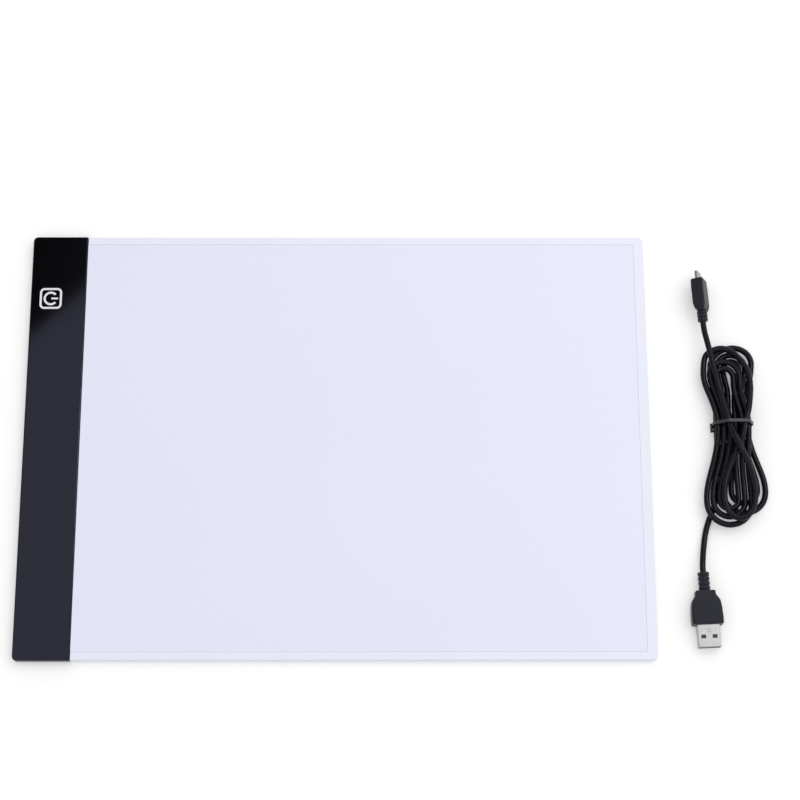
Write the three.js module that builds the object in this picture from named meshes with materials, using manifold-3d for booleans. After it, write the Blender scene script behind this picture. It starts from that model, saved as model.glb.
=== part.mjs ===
// An A4 light pad for tracing, with its loose power lead tied in a hank beside it.
// Millimetres. The origin is under the middle of the pad, on the table. +X runs along the pad,
// away from its black control strip, +Y away from the user and +Z up.
import * as THREE from 'three';
import { mergeVertices } from 'three/addons/utils/BufferGeometryUtils.js';
import Module from 'manifold-3d';

const wasm = await Module();
wasm.setup();

// The pad from outside
const pad_length = 335;
const pad_width = 235;
const body_step = 0.3;
const strip_width = 30;
const side_rim = 5.3;
const end_rim = 4.2;
const body_corner = 2.5;
const strip_corner = 2.5;
const strip_inner_corner = 0.8;
const body_edge = 0.35;
const strip_edge = 0.6;
const seam = 0.2;

// The layers of the pad, from the table up
const foot_height = 0.8;
const floor_thickness = 0.6;
const film_gap = 0.05;
const reflector_thickness = 0.2;
const guide_thickness = 1.8;
const diffuser_thickness = 0.2;
const panel_thickness = 1.2;
const tape_thickness = 0.15;

const half_length = pad_length / 2;
const half_width = pad_width / 2;
const body_half_width = half_width - body_step;
const strip_edge_x = strip_width - half_length;
const body_left = strip_edge_x + seam;
const floor_top = foot_height + floor_thickness;
const reflector_bottom = floor_top + film_gap;
const reflector_top = reflector_bottom + reflector_thickness;
const guide_bottom = reflector_top + film_gap;
const guide_top = guide_bottom + guide_thickness;
const diffuser_bottom = guide_top + film_gap;
const diffuser_top = diffuser_bottom + diffuser_thickness;
const panel_bottom = diffuser_top + film_gap;
const pad_top = panel_bottom + panel_thickness;
const pocket_half_width = body_half_width - end_rim;
const pocket_right = half_length - side_rim;

// The ledge that carries the panel, and what lies inside it
const ledge_width = 2;
const ledge_top = panel_bottom - tape_thickness - 2 * film_gap;
const tape_width = 1.5;
const sheet_clearance = 0.2;
const well_half_width = pocket_half_width - ledge_width;
const well_right = pocket_right - ledge_width;

// The control strip
const strip_wall = 1.2;
const strip_top = 1;
const strip_under = pad_top - strip_top;
const strip_floor_gap = 0.2;
const guide_overlap = 1;
const rib_width = 3;
const rib_end_gap = 5;
const rib_top = strip_under - tape_thickness - 2 * film_gap;
const passage_inset = 44;
const passage_y = half_width - passage_inset;
const passage_width = 7;

// The light source along the left edge of the light guide
const led_gap = 0.2;
const led_depth = 0.9;
const led_length = 3;
const led_height = 1.4;
const led_pitch = 4;
const led_sink = 0.1;
const led_board_thickness = 0.8;
const led_board_end_gap = 1;
const guide_left = strip_edge_x - guide_overlap;
const led_face = guide_left - led_gap;
const led_board_right = led_face - led_depth;
const led_board_left = led_board_right - led_board_thickness;
const rib_right = led_board_left - tape_thickness - 2 * film_gap;
const rib_left = rib_right - rib_width;
const led_board_half = well_half_width - led_board_end_gap;
const shield_lap = 0.6;
const shield_right = guide_left + shield_lap;
const strip_tape_inset = 0.25;
const strip_tape_end_gap = 2;

// The control board and what is on it
const board_left_gap = 0.6;
const board_size = { length: 50, width: 17.7 };
const board_thickness = 0.8;
const board_end_gap = 4.3;
const board_tape_thickness = 0.2;
const board_tape_size = { length: 34, width: 8 };
const board_tape_shift = { x: 2.5, y: -5 };
const board_bottom = floor_top + board_tape_thickness + 2 * film_gap;
const board_top = board_bottom + board_thickness;
const board_left = strip_wall + board_left_gap - half_length;
const board_right = board_left + board_size.width;
const board_far = half_width - strip_wall - board_end_gap;
const board_near = board_far - board_size.length;
const part_bottom = board_top + film_gap;

// The touch mark's place in the strip's far left corner, with the electrode under it
const mark_inset = { x: 10.9, y: 35.9 };
const mark = { x: mark_inset.x - half_length, y: half_width - mark_inset.y };
const electrode_diameter = 11;
const electrode_thickness = 0.1;
const electrode_bottom = strip_under - film_gap - electrode_thickness;
const contact_diameter = 5;

// The power socket in the strip's left wall
const socket_inset = 16.5;
const socket_y = half_width - socket_inset;
const socket = { width: 7.5, height: 2.4, depth: 5.4, wall: 0.3, corner: 0.5 };
const socket_recess = 0.2;
const socket_clearance = 0.3;
const socket_bottom = floor_top + 2 * film_gap;
const socket_middle = socket_bottom + socket.height / 2;
const socket_front = socket_recess - half_length;
const socket_back = socket_front + socket.depth;
const socket_tongue = { width: 5.2, thickness: 0.6, length: 3.6, base: 0.9, clearance: 0.08 };

// The feet
const foot_diameter = 10;
const foot_inset = 14;

// The lead: its cord, its two plugs and the tie
const cord_diameter = 3.2;
const face_gap = 0.3;
const moulding_gap = 0.1;
const cord_sides = 8;
const cord_step = 8;

// The hank: loops drawn in at the waist and wound in two layers
const hank_x = 212.1;
const hank_y = 10;
const loops_per_layer = 3;
const waist_pitch = 3.75;
const lobe_pitch = 3.95;
const layer_rise = 3.7;
const first_turn_share = 0.25;
const top_lobe = { folds: [32, 28.8], swells: [2, 2], leans: [1, -1.3], slip: 0.9 };
const bottom_lobe = { folds: [38.4, 43.9], swells: [3.7, 2.1], leans: [3.2, -3.3], slip: 1.4 };
const waist_shifts = [-0.4, 0.4];
const waist_lift = 1;
const waist_reach = 28;
const climb_length = 36;
const steps_per_run = 6;
const steps_per_fold = 6;
const hank_sides = 6;
const gap_sample = 0.5;
const gap_skip = 4 * cord_diameter;
const least_gap_allowed = 0.4;

// The cord from the hank's upper end round its last loop to the small plug
const plug_end_route = [
  [199.3, 48.6, 5.3], [203.1, 51.5, 5.3], [208.6, 52.7, 5.5], [214.4, 51.9, 6.1],
  [219.4, 49.0, 7.0], [222.9, 44.0, 8.0], [224.4, 37.4, 8.4], [224.3, 30.2, 8.7],
  [222.7, 22.8, 9.4], [220.0, 16.0, 10.1], [217.9, 9.5, 10.2], [216.4, 3.0, 9.9],
  [213.9, -4.0, 9.3], [210.6, -11.0, 9.1], [207.4, -18.5, 9.1], [205.6, -26.0, 9.1],
  [205.4, -33.0, 9.1], [207.4, -39.2, 9.1], [211.9, -42.6, 9.1], [216.9, -41.4, 9.1],
  [220.3, -36.6, 9.1], [221.6, -30.2, 9.2], [220.9, -22.5, 9.9], [218.7, -14.6, 11.6],
  [215.4, -7.0, 13.2], [212.0, 1.0, 12.6], [209.7, 9.5, 10.3], [207.6, 18.0, 9.8],
  [205.7, 26.5, 9.3], [203.9, 35.0, 9.2], [202.3, 43.0, 9.1], [200.9, 50.5, 8.9],
  [199.9, 56.0, 8.2], [199.1, 60.7, 7.2],
];

// The cord from the hank's lower end to the large plug
const usb_end_route = [
  [200.4, -35.0, 1.65], [198.6, -39.4, 1.6], [196.9, -43.8, 1.6], [195.5, -48.6, 1.6],
  [194.5, -53.6, 1.8], [193.7, -58.6, 2.5], [193.1, -63.4, 3.4],
];

// The small plug, on its narrow side, with its axis along the cord
const micro_place = { x: 198.5, y: 67.9, z: 6.4 };
const micro_turn_degrees = 3.6;
const micro_roll_degrees = -24;
const micro_relief = { diameter: 5.6, neck: 4.7, length: 6.2, ribs: 3, tip: 4.4 };
const micro_body = { width: 10.8, thickness: 6.8, length: 17.6, edge: 0.9 };
const micro_body_outline = [
  [4.5, 0], [5, 0.5], [5.4, 1.6], [5.4, 12], [4.5, 17.6],
];
const micro_side_outline = [
  [2.3, 0], [2.6, 0.4], [3.4, 3.4], [3.4, 16.6], [3.1, 17.6],
];
const micro_shell = { width: 6.85, thickness: 1.85, length: 4.4, wall: 0.25, corner: 0.4 };
const micro_tongue = { length: 3.7, clearance: 0.08 };

// The large plug, lying flat
const large_place = { x: 192.85, y: -71 };
const large_turn_degrees = 182.4;
const large_relief = { diameter: 6.1, neck: 5.1, length: 9.8, ribs: 4, tip: 5.2 };
const large_body = { width: 16.5, thickness: 8, length: 17.9, edge: 0.8 };
const large_body_outline = [
  [4.9, 0], [5.35, 0.5], [5.35, 2.2], [7.4, 5.4], [7.95, 8.5], [8.25, 13], [8.25, 16.9], [7.7, 17.9],
];
const large_side_outline = [
  [3.2, 0], [3.4, 0.4], [3.4, 2.2], [4, 4.6], [4, 17.1], [3.5, 17.9],
];
const large_shell = { width: 12, thickness: 4.5, length: 11.8, wall: 0.3, corner: 0.5 };
const window = { width: 2.5, length: 1.9, spacing: 5.9, from_front: 5.5 };
const large_tongue = { thickness: 1.9, recess: 0.6, clearance: 0.05 };
const contact = { width: 1, thickness: 0.12, recess: 1.2 };
const contact_places = [
  { x: -3.5, length: 8.4 }, { x: -1, length: 7.4 }, { x: 1, length: 7.4 }, { x: 3.5, length: 8.4 },
];

// The flat tie round the hank's waist, and the two strands above the layers that it also holds
const tie = { width: 1.8, thickness: 0.6, gap: 0.35 };
const tie_tail = { length: 5, thickness: 1.3, width: 1.3, sink: 0.3 };
const upper_strands = { left: -2.7, right: 6.2, height: 10.45 };

// Cuts run past the faces that they open, and joined pieces reach into each other
const overrun = 1;
const join = 1;
const merge_distance = 1e-4;
const curve_steps = 6;

const finish = {
  white_plastic: { color: 0xeef1fc, roughness: 0.42, metalness: 0 },
  opal_acrylic: { color: 0xe9ebff, roughness: 0.3, metalness: 0 },
  black_gloss: { color: 0x1c1c22, roughness: 0.16, metalness: 0 },
  clear_acrylic: { color: 0xdfeaf2, roughness: 0.08, metalness: 0 },
  white_film: { color: 0xf6f6f8, roughness: 0.6, metalness: 0 },
  black_tape: { color: 0x1a1a1c, roughness: 0.8, metalness: 0 },
  pale_tape: { color: 0xd8d2bf, roughness: 0.7, metalness: 0 },
  green_board: { color: 0x1f6b42, roughness: 0.45, metalness: 0 },
  white_board: { color: 0xf2f2ee, roughness: 0.5, metalness: 0 },
  chip_black: { color: 0x222226, roughness: 0.6, metalness: 0 },
  tan_ceramic: { color: 0xb08c5e, roughness: 0.5, metalness: 0 },
  copper: { color: 0xc47c50, roughness: 0.35, metalness: 1 },
  foam: { color: 0x55565c, roughness: 0.9, metalness: 0 },
  red_wire: { color: 0xb3201f, roughness: 0.5, metalness: 0 },
  black_wire: { color: 0x1b1b1d, roughness: 0.5, metalness: 0 },
  rubber: { color: 0xd9dbe2, roughness: 0.85, metalness: 0 },
  steel: { color: 0xcfccce, roughness: 0.28, metalness: 1 },
  gold: { color: 0xd8b45a, roughness: 0.3, metalness: 1 },
  plug_black: { color: 0x2a2b35, roughness: 0.5, metalness: 0 },
  cord_black: { color: 0x17171b, roughness: 0.42, metalness: 0 },
};

const object = new THREE.Group();
const pad = new THREE.Group();
const lead = new THREE.Group();
object.add(pad, lead);

function piece(name, geometry, look, home) {
  const mesh = new THREE.Mesh(geometry, new THREE.MeshStandardMaterial(look));
  mesh.name = name;
  home.add(mesh);
}

// Solids that can be joined and cut
function solid(geometry) {
  const bare = geometry.clone();
  bare.deleteAttribute('normal');
  bare.deleteAttribute('uv');
  const merged = mergeVertices(bare, merge_distance);
  return new wasm.Manifold(new wasm.Mesh({
    numProp: 3,
    vertProperties: new Float32Array(merged.attributes.position.array),
    triVerts: new Uint32Array(merged.index.array),
  }));
}

function geometry_of(body) {
  const mesh = body.getMesh();
  const geometry = new THREE.BufferGeometry();
  geometry.setAttribute('position', new THREE.BufferAttribute(mesh.vertProperties, mesh.numProp));
  geometry.setIndex(new THREE.BufferAttribute(mesh.triVerts, 1));
  geometry.computeVertexNormals();
  return geometry;
}

function block(x_range, y_range, z_range) {
  const [width, depth, height] = [x_range, y_range, z_range].map(([low, high]) => high - low);
  const box = new THREE.BoxGeometry(width, depth, height);
  return box.translate(x_range[0] + width / 2, y_range[0] + depth / 2, z_range[0] + height / 2);
}

// A rectangle with rounded corners: the left pair and the right pair can differ or be square
function rounded(x_range, y_range, left_corner, right_corner) {
  const [left, right] = x_range;
  const [near, far] = y_range;
  const quarter = Math.PI / 2;
  const corners = [
    [right - right_corner, near + right_corner, right_corner, -quarter],
    [right - right_corner, far - right_corner, right_corner, 0],
    [left + left_corner, far - left_corner, left_corner, quarter],
    [left + left_corner, near + left_corner, left_corner, 2 * quarter],
  ];
  const points = [];
  for (const [x, y, radius, start] of corners) {
    const steps = radius > 0 ? curve_steps : 0;
    for (let i = 0; i <= steps; i += 1) {
      const angle = start + quarter * i / curve_steps;
      points.push(new THREE.Vector2(x + radius * Math.cos(angle), y + radius * Math.sin(angle)));
    }
  }
  return new THREE.Shape(points);
}

function slab(shape, z_range) {
  const [bottom, top] = z_range;
  const depth = top - bottom;
  const geometry = new THREE.ExtrudeGeometry(shape, { depth, bevelEnabled: false });
  return geometry.translate(0, 0, bottom);
}

// A slab whose top edge is eased, cut square at the bottom
function eased_slab(shape, z_range, edge) {
  const [bottom, top] = z_range;
  const start = bottom - 2 * edge;
  const geometry = new THREE.ExtrudeGeometry(shape, {
    depth: top - start - 2 * edge,
    bevelEnabled: true,
    bevelSize: edge,
    bevelThickness: edge,
    bevelOffset: -edge,
    bevelSegments: 2,
  });
  geometry.translate(0, 0, start + edge);
  geometry.computeBoundingBox();
  const { min, max } = geometry.boundingBox;
  const below = block(
    [min.x - overrun, max.x + overrun], [min.y - overrun, max.y + overrun], [start - overrun, bottom],
  );
  return solid(geometry).subtract(solid(below));
}

function symmetric(half) {
  return [-half, half];
}

// The pad's housing
function back_cover() {
  const outline = rounded([body_left, half_length], symmetric(body_half_width), 0, body_corner);
  const strip_half_width = half_width - strip_wall - strip_floor_gap;
  const strip_left = strip_wall + strip_floor_gap - half_length;
  const open_left = body_left - overrun;
  const panel_pocket = block([open_left, pocket_right], symmetric(pocket_half_width), [ledge_top, pad_top + overrun]);
  const guide_well = block([open_left, well_right], symmetric(well_half_width), [floor_top, pad_top + overrun]);
  const strip_floor = block([strip_left, body_left + join], symmetric(strip_half_width), [foot_height, floor_top]);
  const rib_half = well_half_width + end_rim - rib_end_gap;
  const rib = block([rib_left, rib_right], symmetric(rib_half), [floor_top - floor_thickness / 2, rib_top]);
  const passage = block(
    [rib_left - overrun, rib_right + overrun],
    [passage_y - passage_width / 2, passage_y + passage_width / 2],
    [floor_top, rib_top + overrun],
  );
  return geometry_of(eased_slab(outline, [foot_height, pad_top], body_edge)
    .subtract(solid(panel_pocket))
    .subtract(solid(guide_well))
    .add(solid(strip_floor))
    .add(solid(rib))
    .subtract(solid(passage)));
}

function top_panel() {
  return block([body_left, pocket_right - seam], symmetric(pocket_half_width - seam), [panel_bottom, pad_top]);
}

// The tape that holds the panel down on the ledge, along three sides
function panel_tape() {
  const outer = pocket_half_width - seam;
  const inner = outer - tape_width;
  const right = pocket_right - seam;
  const shape = new THREE.Shape([
    new THREE.Vector2(body_left, -outer), new THREE.Vector2(right, -outer),
    new THREE.Vector2(right, outer), new THREE.Vector2(body_left, outer),
    new THREE.Vector2(body_left, inner), new THREE.Vector2(right - tape_width, inner),
    new THREE.Vector2(right - tape_width, -inner), new THREE.Vector2(body_left, -inner),
  ]);
  return slab(shape, [ledge_top + film_gap, ledge_top + film_gap + tape_thickness]);
}

function sheet(left, z_range) {
  return block([left, well_right - sheet_clearance], symmetric(well_half_width - sheet_clearance), z_range);
}

function strip_cover() {
  const outline = rounded([-half_length, strip_edge_x], symmetric(half_width), strip_corner, strip_inner_corner);
  const cavity = block(
    [strip_wall - half_length, strip_edge_x + overrun],
    symmetric(half_width - strip_wall),
    [foot_height - overrun, strip_under],
  );
  const mouth_half = socket.width / 2 + socket_clearance;
  const mouth = block(
    [-half_length - overrun, strip_wall - half_length + film_gap],
    [socket_y - mouth_half, socket_y + mouth_half],
    [socket_bottom - socket_clearance, socket_bottom + socket.height + socket_clearance],
  );
  return geometry_of(eased_slab(outline, [foot_height, pad_top], strip_edge)
    .subtract(solid(cavity))
    .subtract(solid(mouth)));
}

function strip_tape() {
  return block(
    [rib_left + strip_tape_inset, rib_right - strip_tape_inset],
    symmetric(led_board_half - strip_tape_end_gap),
    [rib_top + film_gap, rib_top + film_gap + tape_thickness],
  );
}

// The light source: packages in a row on a board that stands on its edge
function led_bar() {
  const middle = (guide_bottom + guide_top) / 2;
  const count = Math.floor((2 * led_board_half - led_length) / led_pitch) + 1;
  const first = -(count - 1) * led_pitch / 2;
  let bar = solid(block([led_board_left, led_board_right], symmetric(led_board_half), [reflector_bottom, guide_top]));
  for (let i = 0; i < count; i += 1) {
    const y = first + i * led_pitch;
    bar = bar.add(solid(block(
      [led_board_right - led_sink, led_face],
      [y - led_length / 2, y + led_length / 2],
      [middle - led_height / 2, middle + led_height / 2],
    )));
  }
  return geometry_of(bar);
}

function bar_tape() {
  return block(
    [rib_right + film_gap, rib_right + film_gap + tape_thickness],
    [-led_board_half, passage_y - passage_width / 2],
    [reflector_bottom, guide_top],
  );
}

function light_shield() {
  return block([led_board_left, shield_right], symmetric(led_board_half), [diffuser_bottom, diffuser_top]);
}

// The control board, with a bay for the socket in its left edge
function control_board() {
  const board = block([board_left, board_right], [board_near, board_far], [board_bottom, board_top]);
  const bay_half = socket.width / 2 + socket_clearance;
  const bay = block(
    [board_left - overrun, socket_back + socket_clearance],
    [socket_y - bay_half, socket_y + bay_half],
    [board_bottom - overrun, board_top + overrun],
  );
  return geometry_of(solid(board).subtract(solid(bay)));
}

function board_tape() {
  const x = (board_left + board_right) / 2 + board_tape_shift.x;
  const y = (board_near + board_far) / 2 + board_tape_shift.y;
  return block(
    [x - board_tape_size.width / 2, x + board_tape_size.width / 2],
    [y - board_tape_size.length / 2, y + board_tape_size.length / 2],
    [floor_top + film_gap, floor_top + film_gap + board_tape_thickness],
  );
}

function upright(diameter, z_range, place, sides) {
  const [bottom, top] = z_range;
  const cylinder = new THREE.CylinderGeometry(diameter / 2, diameter / 2, top - bottom, sides);
  return cylinder.rotateX(Math.PI / 2).translate(place.x, place.y, (bottom + top) / 2);
}

// The small parts on the control board, their places measured from the touch mark's middle
const board_parts = {
  touch_chip: { x: -1.1, y: -8.6, size: [4, 5, 1], look: finish.chip_black },
  driver_chip: { x: 4.5, y: 5.4, size: [1.7, 3, 1.1], look: finish.chip_black },
  capacitor: { x: 4.5, y: 13.4, size: [1.6, 3.2, 1.25], look: finish.tan_ceramic },
  resistor_1: { x: -5.1, y: 4.4, size: [1.2, 2, 0.55], look: finish.chip_black },
  resistor_2: { x: -5.1, y: 8.4, size: [1.2, 2, 0.55], look: finish.chip_black },
};

function board_part({ x, y, size }) {
  const [width, depth, height] = size;
  const left = mark.x + x - width / 2;
  const near = mark.y + y - depth / 2;
  return block([left, left + width], [near, near + depth], [part_bottom, part_bottom + height]);
}

// A tube of oblong section with its axis along Y, from y = 0
function oblong_tube(width, thickness, length, wall, corner) {
  const outer = rounded(symmetric(width / 2), symmetric(thickness / 2), corner, corner);
  const inner_corner = Math.max(corner - wall, corner / 4);
  const inner = rounded(
    symmetric(width / 2 - wall), symmetric(thickness / 2 - wall), inner_corner, inner_corner,
  );
  outer.holes.push(inner);
  return slab(outer, [0, length]).rotateX(-Math.PI / 2);
}

function usb_socket_shell() {
  const { width, height, depth, wall, corner } = socket;
  return oblong_tube(width, height, depth, wall, corner)
    .rotateZ(-Math.PI / 2)
    .translate(socket_front, socket_y, socket_middle);
}

// The insulator closes the back of the shell and carries a thin tongue
function usb_socket_tongue() {
  const gap = socket.wall + socket_tongue.clearance;
  const base_half = socket.width / 2 - gap - socket.corner / 2;
  const base_height = socket.height / 2 - gap;
  const base = block(
    [socket_back - socket_tongue.base, socket_back],
    [socket_y - base_half, socket_y + base_half],
    [socket_middle - base_height, socket_middle + base_height],
  );
  const tongue = block(
    [socket_back - socket_tongue.base - socket_tongue.length, socket_back - socket_tongue.base / 2],
    [socket_y - socket_tongue.width / 2, socket_y + socket_tongue.width / 2],
    [socket_middle - socket_tongue.thickness / 2, socket_middle + socket_tongue.thickness / 2],
  );
  return geometry_of(solid(base).add(solid(tongue)));
}

// The two wires from the control board through the rib to the light source
const wire_diameter = 0.9;
const wire_spacing = 2.2;
const wire_start = 3;
const wire_rise = 0.5;
const wire_step = 2;

function led_wire(side) {
  const y = passage_y + side * wire_spacing / 2;
  const high = part_bottom + wire_rise;
  const low = (floor_top + rib_top) / 2;
  const end = led_board_left - face_gap;
  const half_way = (board_right + rib_left) / 2;
  return cord_tube([
    [board_right - wire_start, y, high], [board_right - wire_start / 2, y, high],
    [board_right, y, high], [half_way, y, (high + low) / 2], [rib_left, y, low],
    [(rib_left + end) / 2, y, low], [end, y, low],
  ].map((point) => new THREE.Vector3(...point)), wire_diameter, wire_step);
}

// A round tube along a smooth curve through the points
function cord_tube(points, diameter, step) {
  const curve = new THREE.CatmullRomCurve3(points, false, 'centripetal');
  const section = new THREE.Shape();
  for (let i = 0; i < cord_sides; i += 1) {
    const angle = (i + 0.5) * 2 * Math.PI / cord_sides;
    const [x, y] = [Math.cos(angle) * diameter / 2, Math.sin(angle) * diameter / 2];
    if (i === 0) section.moveTo(x, y);
    else section.lineTo(x, y);
  }
  section.closePath();
  const steps = Math.round(curve.getLength() / step);
  return new THREE.ExtrudeGeometry(section, { steps, extrudePath: curve, bevelEnabled: false });
}

// The hank's centreline
function ease(share) {
  const s = Math.min(Math.max(share, 0), 1);
  return s * s * (3 - 2 * s);
}

// Where a lobe's fold is centred, along the hank from its waist
function fold_centre(lobe, layer, turns) {
  return lobe.folds[layer] - lobe.slip * (loops_per_layer - turns);
}

// How far towards its innermost fold a point of a lobe lies
function reach_share(lobe, layer, along) {
  return ease(along / fold_centre(lobe, layer, 0));
}

// Each layer's middle: beside the other's at the waist, and leaning its own way in the lobes
function middle_line(lobe, layer, level, reach) {
  const shift = THREE.MathUtils.lerp(...waist_shifts, level);
  return THREE.MathUtils.lerp(shift, lobe.leans[layer], reach);
}

// Half the width of a loop that lies so many turns out from the middle
function loop_half_width(turns, reach) {
  return (first_turn_share + turns) * (waist_pitch + (lobe_pitch - waist_pitch) * reach);
}

function cord_height(level, along) {
  return cord_diameter / 2 + level * layer_rise + waist_lift * (1 - ease(along / waist_reach));
}

function hank_point(x, v, level) {
  return new THREE.Vector3(hank_x + x, hank_y + v, cord_height(level, Math.abs(v)));
}

// One run between two folds: runs on the left go up the hank, those on the right come down
function hank_run(run, turning_run) {
  const turns = Math.abs(turning_run - run) / 2;
  const goes_up = run % 2 === 0;
  const side = goes_up ? -1 : 1;
  const from_layer = run <= turning_run ? 0 : 1;
  const to_layer = run < turning_run ? 0 : 1;
  const top = fold_centre(top_lobe, goes_up ? to_layer : from_layer, turns);
  const bottom = -fold_centre(bottom_lobe, goes_up ? from_layer : to_layer, turns);
  const [start, end] = goes_up ? [bottom, top] : [top, bottom];
  const points = [];
  for (let i = 0; i <= steps_per_run; i += 1) {
    const v = start + (end - start) * i / steps_per_run;
    const lobe = v > 0 ? top_lobe : bottom_lobe;
    const climbing = run === turning_run;
    const layer = climbing ? Number(v <= 0) : to_layer;
    const level = climbing ? Math.min(Math.max(0.5 - v / climb_length, 0), 1) : layer;
    const reach = reach_share(lobe, layer, Math.abs(v));
    const half = loop_half_width(turns, reach) + lobe.swells[layer] * reach;
    points.push(hank_point(middle_line(lobe, layer, level, reach) + side * half, v, level));
  }
  return points;
}

// The fold after a run, where the loop grows or shrinks by half a turn
function hank_fold(run, turning_run) {
  const goes_up = run % 2 === 0;
  const side = goes_up ? -1 : 1;
  const lobe = goes_up ? top_lobe : bottom_lobe;
  const layer = run < turning_run ? 0 : 1;
  const [from, to] = [run, run + 1].map((at) => Math.abs(turning_run - at) / 2);
  const points = [];
  for (let i = 1; i < steps_per_fold; i += 1) {
    const share = i / steps_per_fold;
    const angle = Math.PI * share;
    const turns = from + (to - from) * share;
    const radius = (first_turn_share + turns) * lobe_pitch + lobe.swells[layer];
    const x = lobe.leans[layer] + side * radius * Math.cos(angle);
    const v = fold_centre(lobe, layer, turns) + radius * Math.sin(angle);
    points.push(hank_point(x, goes_up ? v : -v, layer));
  }
  return points;
}

function hank_route() {
  const turning_run = 2 * loops_per_layer - 1;
  const last_run = 2 * turning_run;
  const points = [];
  for (let run = 0; run <= last_run; run += 1) {
    points.push(...hank_run(run, turning_run));
    if (run < last_run) points.push(...hank_fold(run, turning_run));
  }
  return with_straight_ends(points);
}

// Both ends run straight on for one diameter
function with_straight_ends(points) {
  const [first, second] = points;
  const [before, last] = points.slice(-2);
  const start = first.clone().sub(second).setLength(cord_diameter).add(first);
  const end = last.clone().sub(before).setLength(cord_diameter).add(last);
  return [start, ...points, end];
}

// One unbroken tube through the points, its section upright all along
function wound_tube(points, diameter) {
  const up = new THREE.Vector3(0, 0, 1);
  const positions = [];
  const faces = [];
  points.forEach((point, i) => {
    const ahead = points[Math.min(i + 1, points.length - 1)];
    const behind = points[Math.max(i - 1, 0)];
    const tangent = ahead.clone().sub(behind).normalize();
    const across = tangent.clone().cross(up).normalize();
    const over = across.clone().cross(tangent);
    for (let k = 0; k < hank_sides; k += 1) {
      const angle = (k + 0.5) * 2 * Math.PI / hank_sides;
      const offset = across.clone().multiplyScalar(Math.cos(angle)).addScaledVector(over, Math.sin(angle));
      positions.push(...point.clone().addScaledVector(offset, diameter / 2).toArray());
    }
  });
  const rings = points.length;
  for (let i = 0; i + 1 < rings; i += 1) {
    for (let k = 0; k < hank_sides; k += 1) {
      const [a, b] = [i * hank_sides + k, i * hank_sides + (k + 1) % hank_sides];
      faces.push(a, a + hank_sides, b, b, a + hank_sides, b + hank_sides);
    }
  }
  const last = (rings - 1) * hank_sides;
  for (let k = 1; k + 1 < hank_sides; k += 1) {
    faces.push(0, k, k + 1, last, last + k + 1, last + k);
  }
  const geometry = new THREE.BufferGeometry();
  geometry.setAttribute('position', new THREE.Float32BufferAttribute(positions, 3));
  geometry.setIndex(faces);
  geometry.computeVertexNormals();
  return geometry;
}

// Points close together along a broken line, each with its distance along it
function sampled(points) {
  const samples = [];
  let travelled = 0;
  for (let i = 0; i + 1 < points.length; i += 1) {
    const length = points[i].distanceTo(points[i + 1]);
    const count = Math.ceil(length / gap_sample);
    for (let k = 0; k < count; k += 1) {
      samples.push({ at: points[i].clone().lerp(points[i + 1], k / count), along: travelled + length * k / count });
    }
    travelled += length;
  }
  return samples;
}

// The least gap between two tubes of the cord's diameter, or of one to itself
function least_gap(points, others, skip) {
  let least = Infinity;
  for (const a of sampled(points)) {
    for (const b of sampled(others)) {
      if (Math.abs(a.along - b.along) >= skip) least = Math.min(least, a.at.distanceTo(b.at));
    }
  }
  return least - cord_diameter;
}

function length_of(points) {
  return points.slice(1).reduce((sum, point, i) => sum + point.distanceTo(points[i]), 0);
}

// A free stretch of cord from a tube's end to a strain relief, both met square with a small gap
function free_route(from, towards, middle, place, direction) {
  const start = from.clone().addScaledVector(towards, face_gap);
  const end = place.clone().addScaledVector(direction, -face_gap);
  return [
    start, start.clone().addScaledVector(towards, cord_diameter),
    ...middle.map((point) => new THREE.Vector3(...point)),
    end.clone().addScaledVector(direction, -cord_diameter), end,
  ];
}

// A strain relief about the Y axis: ribs with necks between them, from y = 0
function strain_relief({ diameter, neck, length, ribs, tip }) {
  const pitch = length / ribs;
  const rib_share = 0.62;
  const profile = [new THREE.Vector2(0, 0), new THREE.Vector2(tip / 2, 0)];
  for (let i = 0; i < ribs; i += 1) {
    const start = i * pitch;
    const slope = pitch * (1 - rib_share) / 4;
    const rib = i === 0 ? (tip + diameter) / 2 : diameter;
    profile.push(
      new THREE.Vector2(rib / 2, start + slope), new THREE.Vector2(rib / 2, start + slope + pitch * rib_share),
      new THREE.Vector2(neck / 2, start + 2 * slope + pitch * rib_share),
      new THREE.Vector2(neck / 2, start + pitch),
    );
  }
  profile.push(new THREE.Vector2(0, length));
  return new THREE.LatheGeometry(profile, 2 * curve_steps);
}

// An outline given as half widths along the Y axis
function two_sided(outline) {
  const right = outline.map(([half, along]) => new THREE.Vector2(half, along));
  const left = outline.map(([half, along]) => new THREE.Vector2(-half, along)).reverse();
  return new THREE.Shape([...right, ...left]);
}

// A plug's moulded body: its plan cut by its side view, with eased edges
function plug_body(plan, side, size) {
  const { width, thickness, edge } = size;
  const seen_from_above = new THREE.ExtrudeGeometry(two_sided(plan), {
    depth: thickness - 2 * edge,
    bevelEnabled: true,
    bevelSize: edge,
    bevelThickness: edge,
    bevelOffset: -edge,
    bevelSegments: 2,
  }).translate(0, 0, edge - thickness / 2);
  const seen_from_side = new THREE.ExtrudeGeometry(two_sided(side), {
    depth: width + 2 * overrun,
    bevelEnabled: false,
  }).translate(0, 0, -width / 2 - overrun).rotateY(Math.PI / 2);
  return geometry_of(solid(seen_from_above).intersect(solid(seen_from_side)));
}

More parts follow.
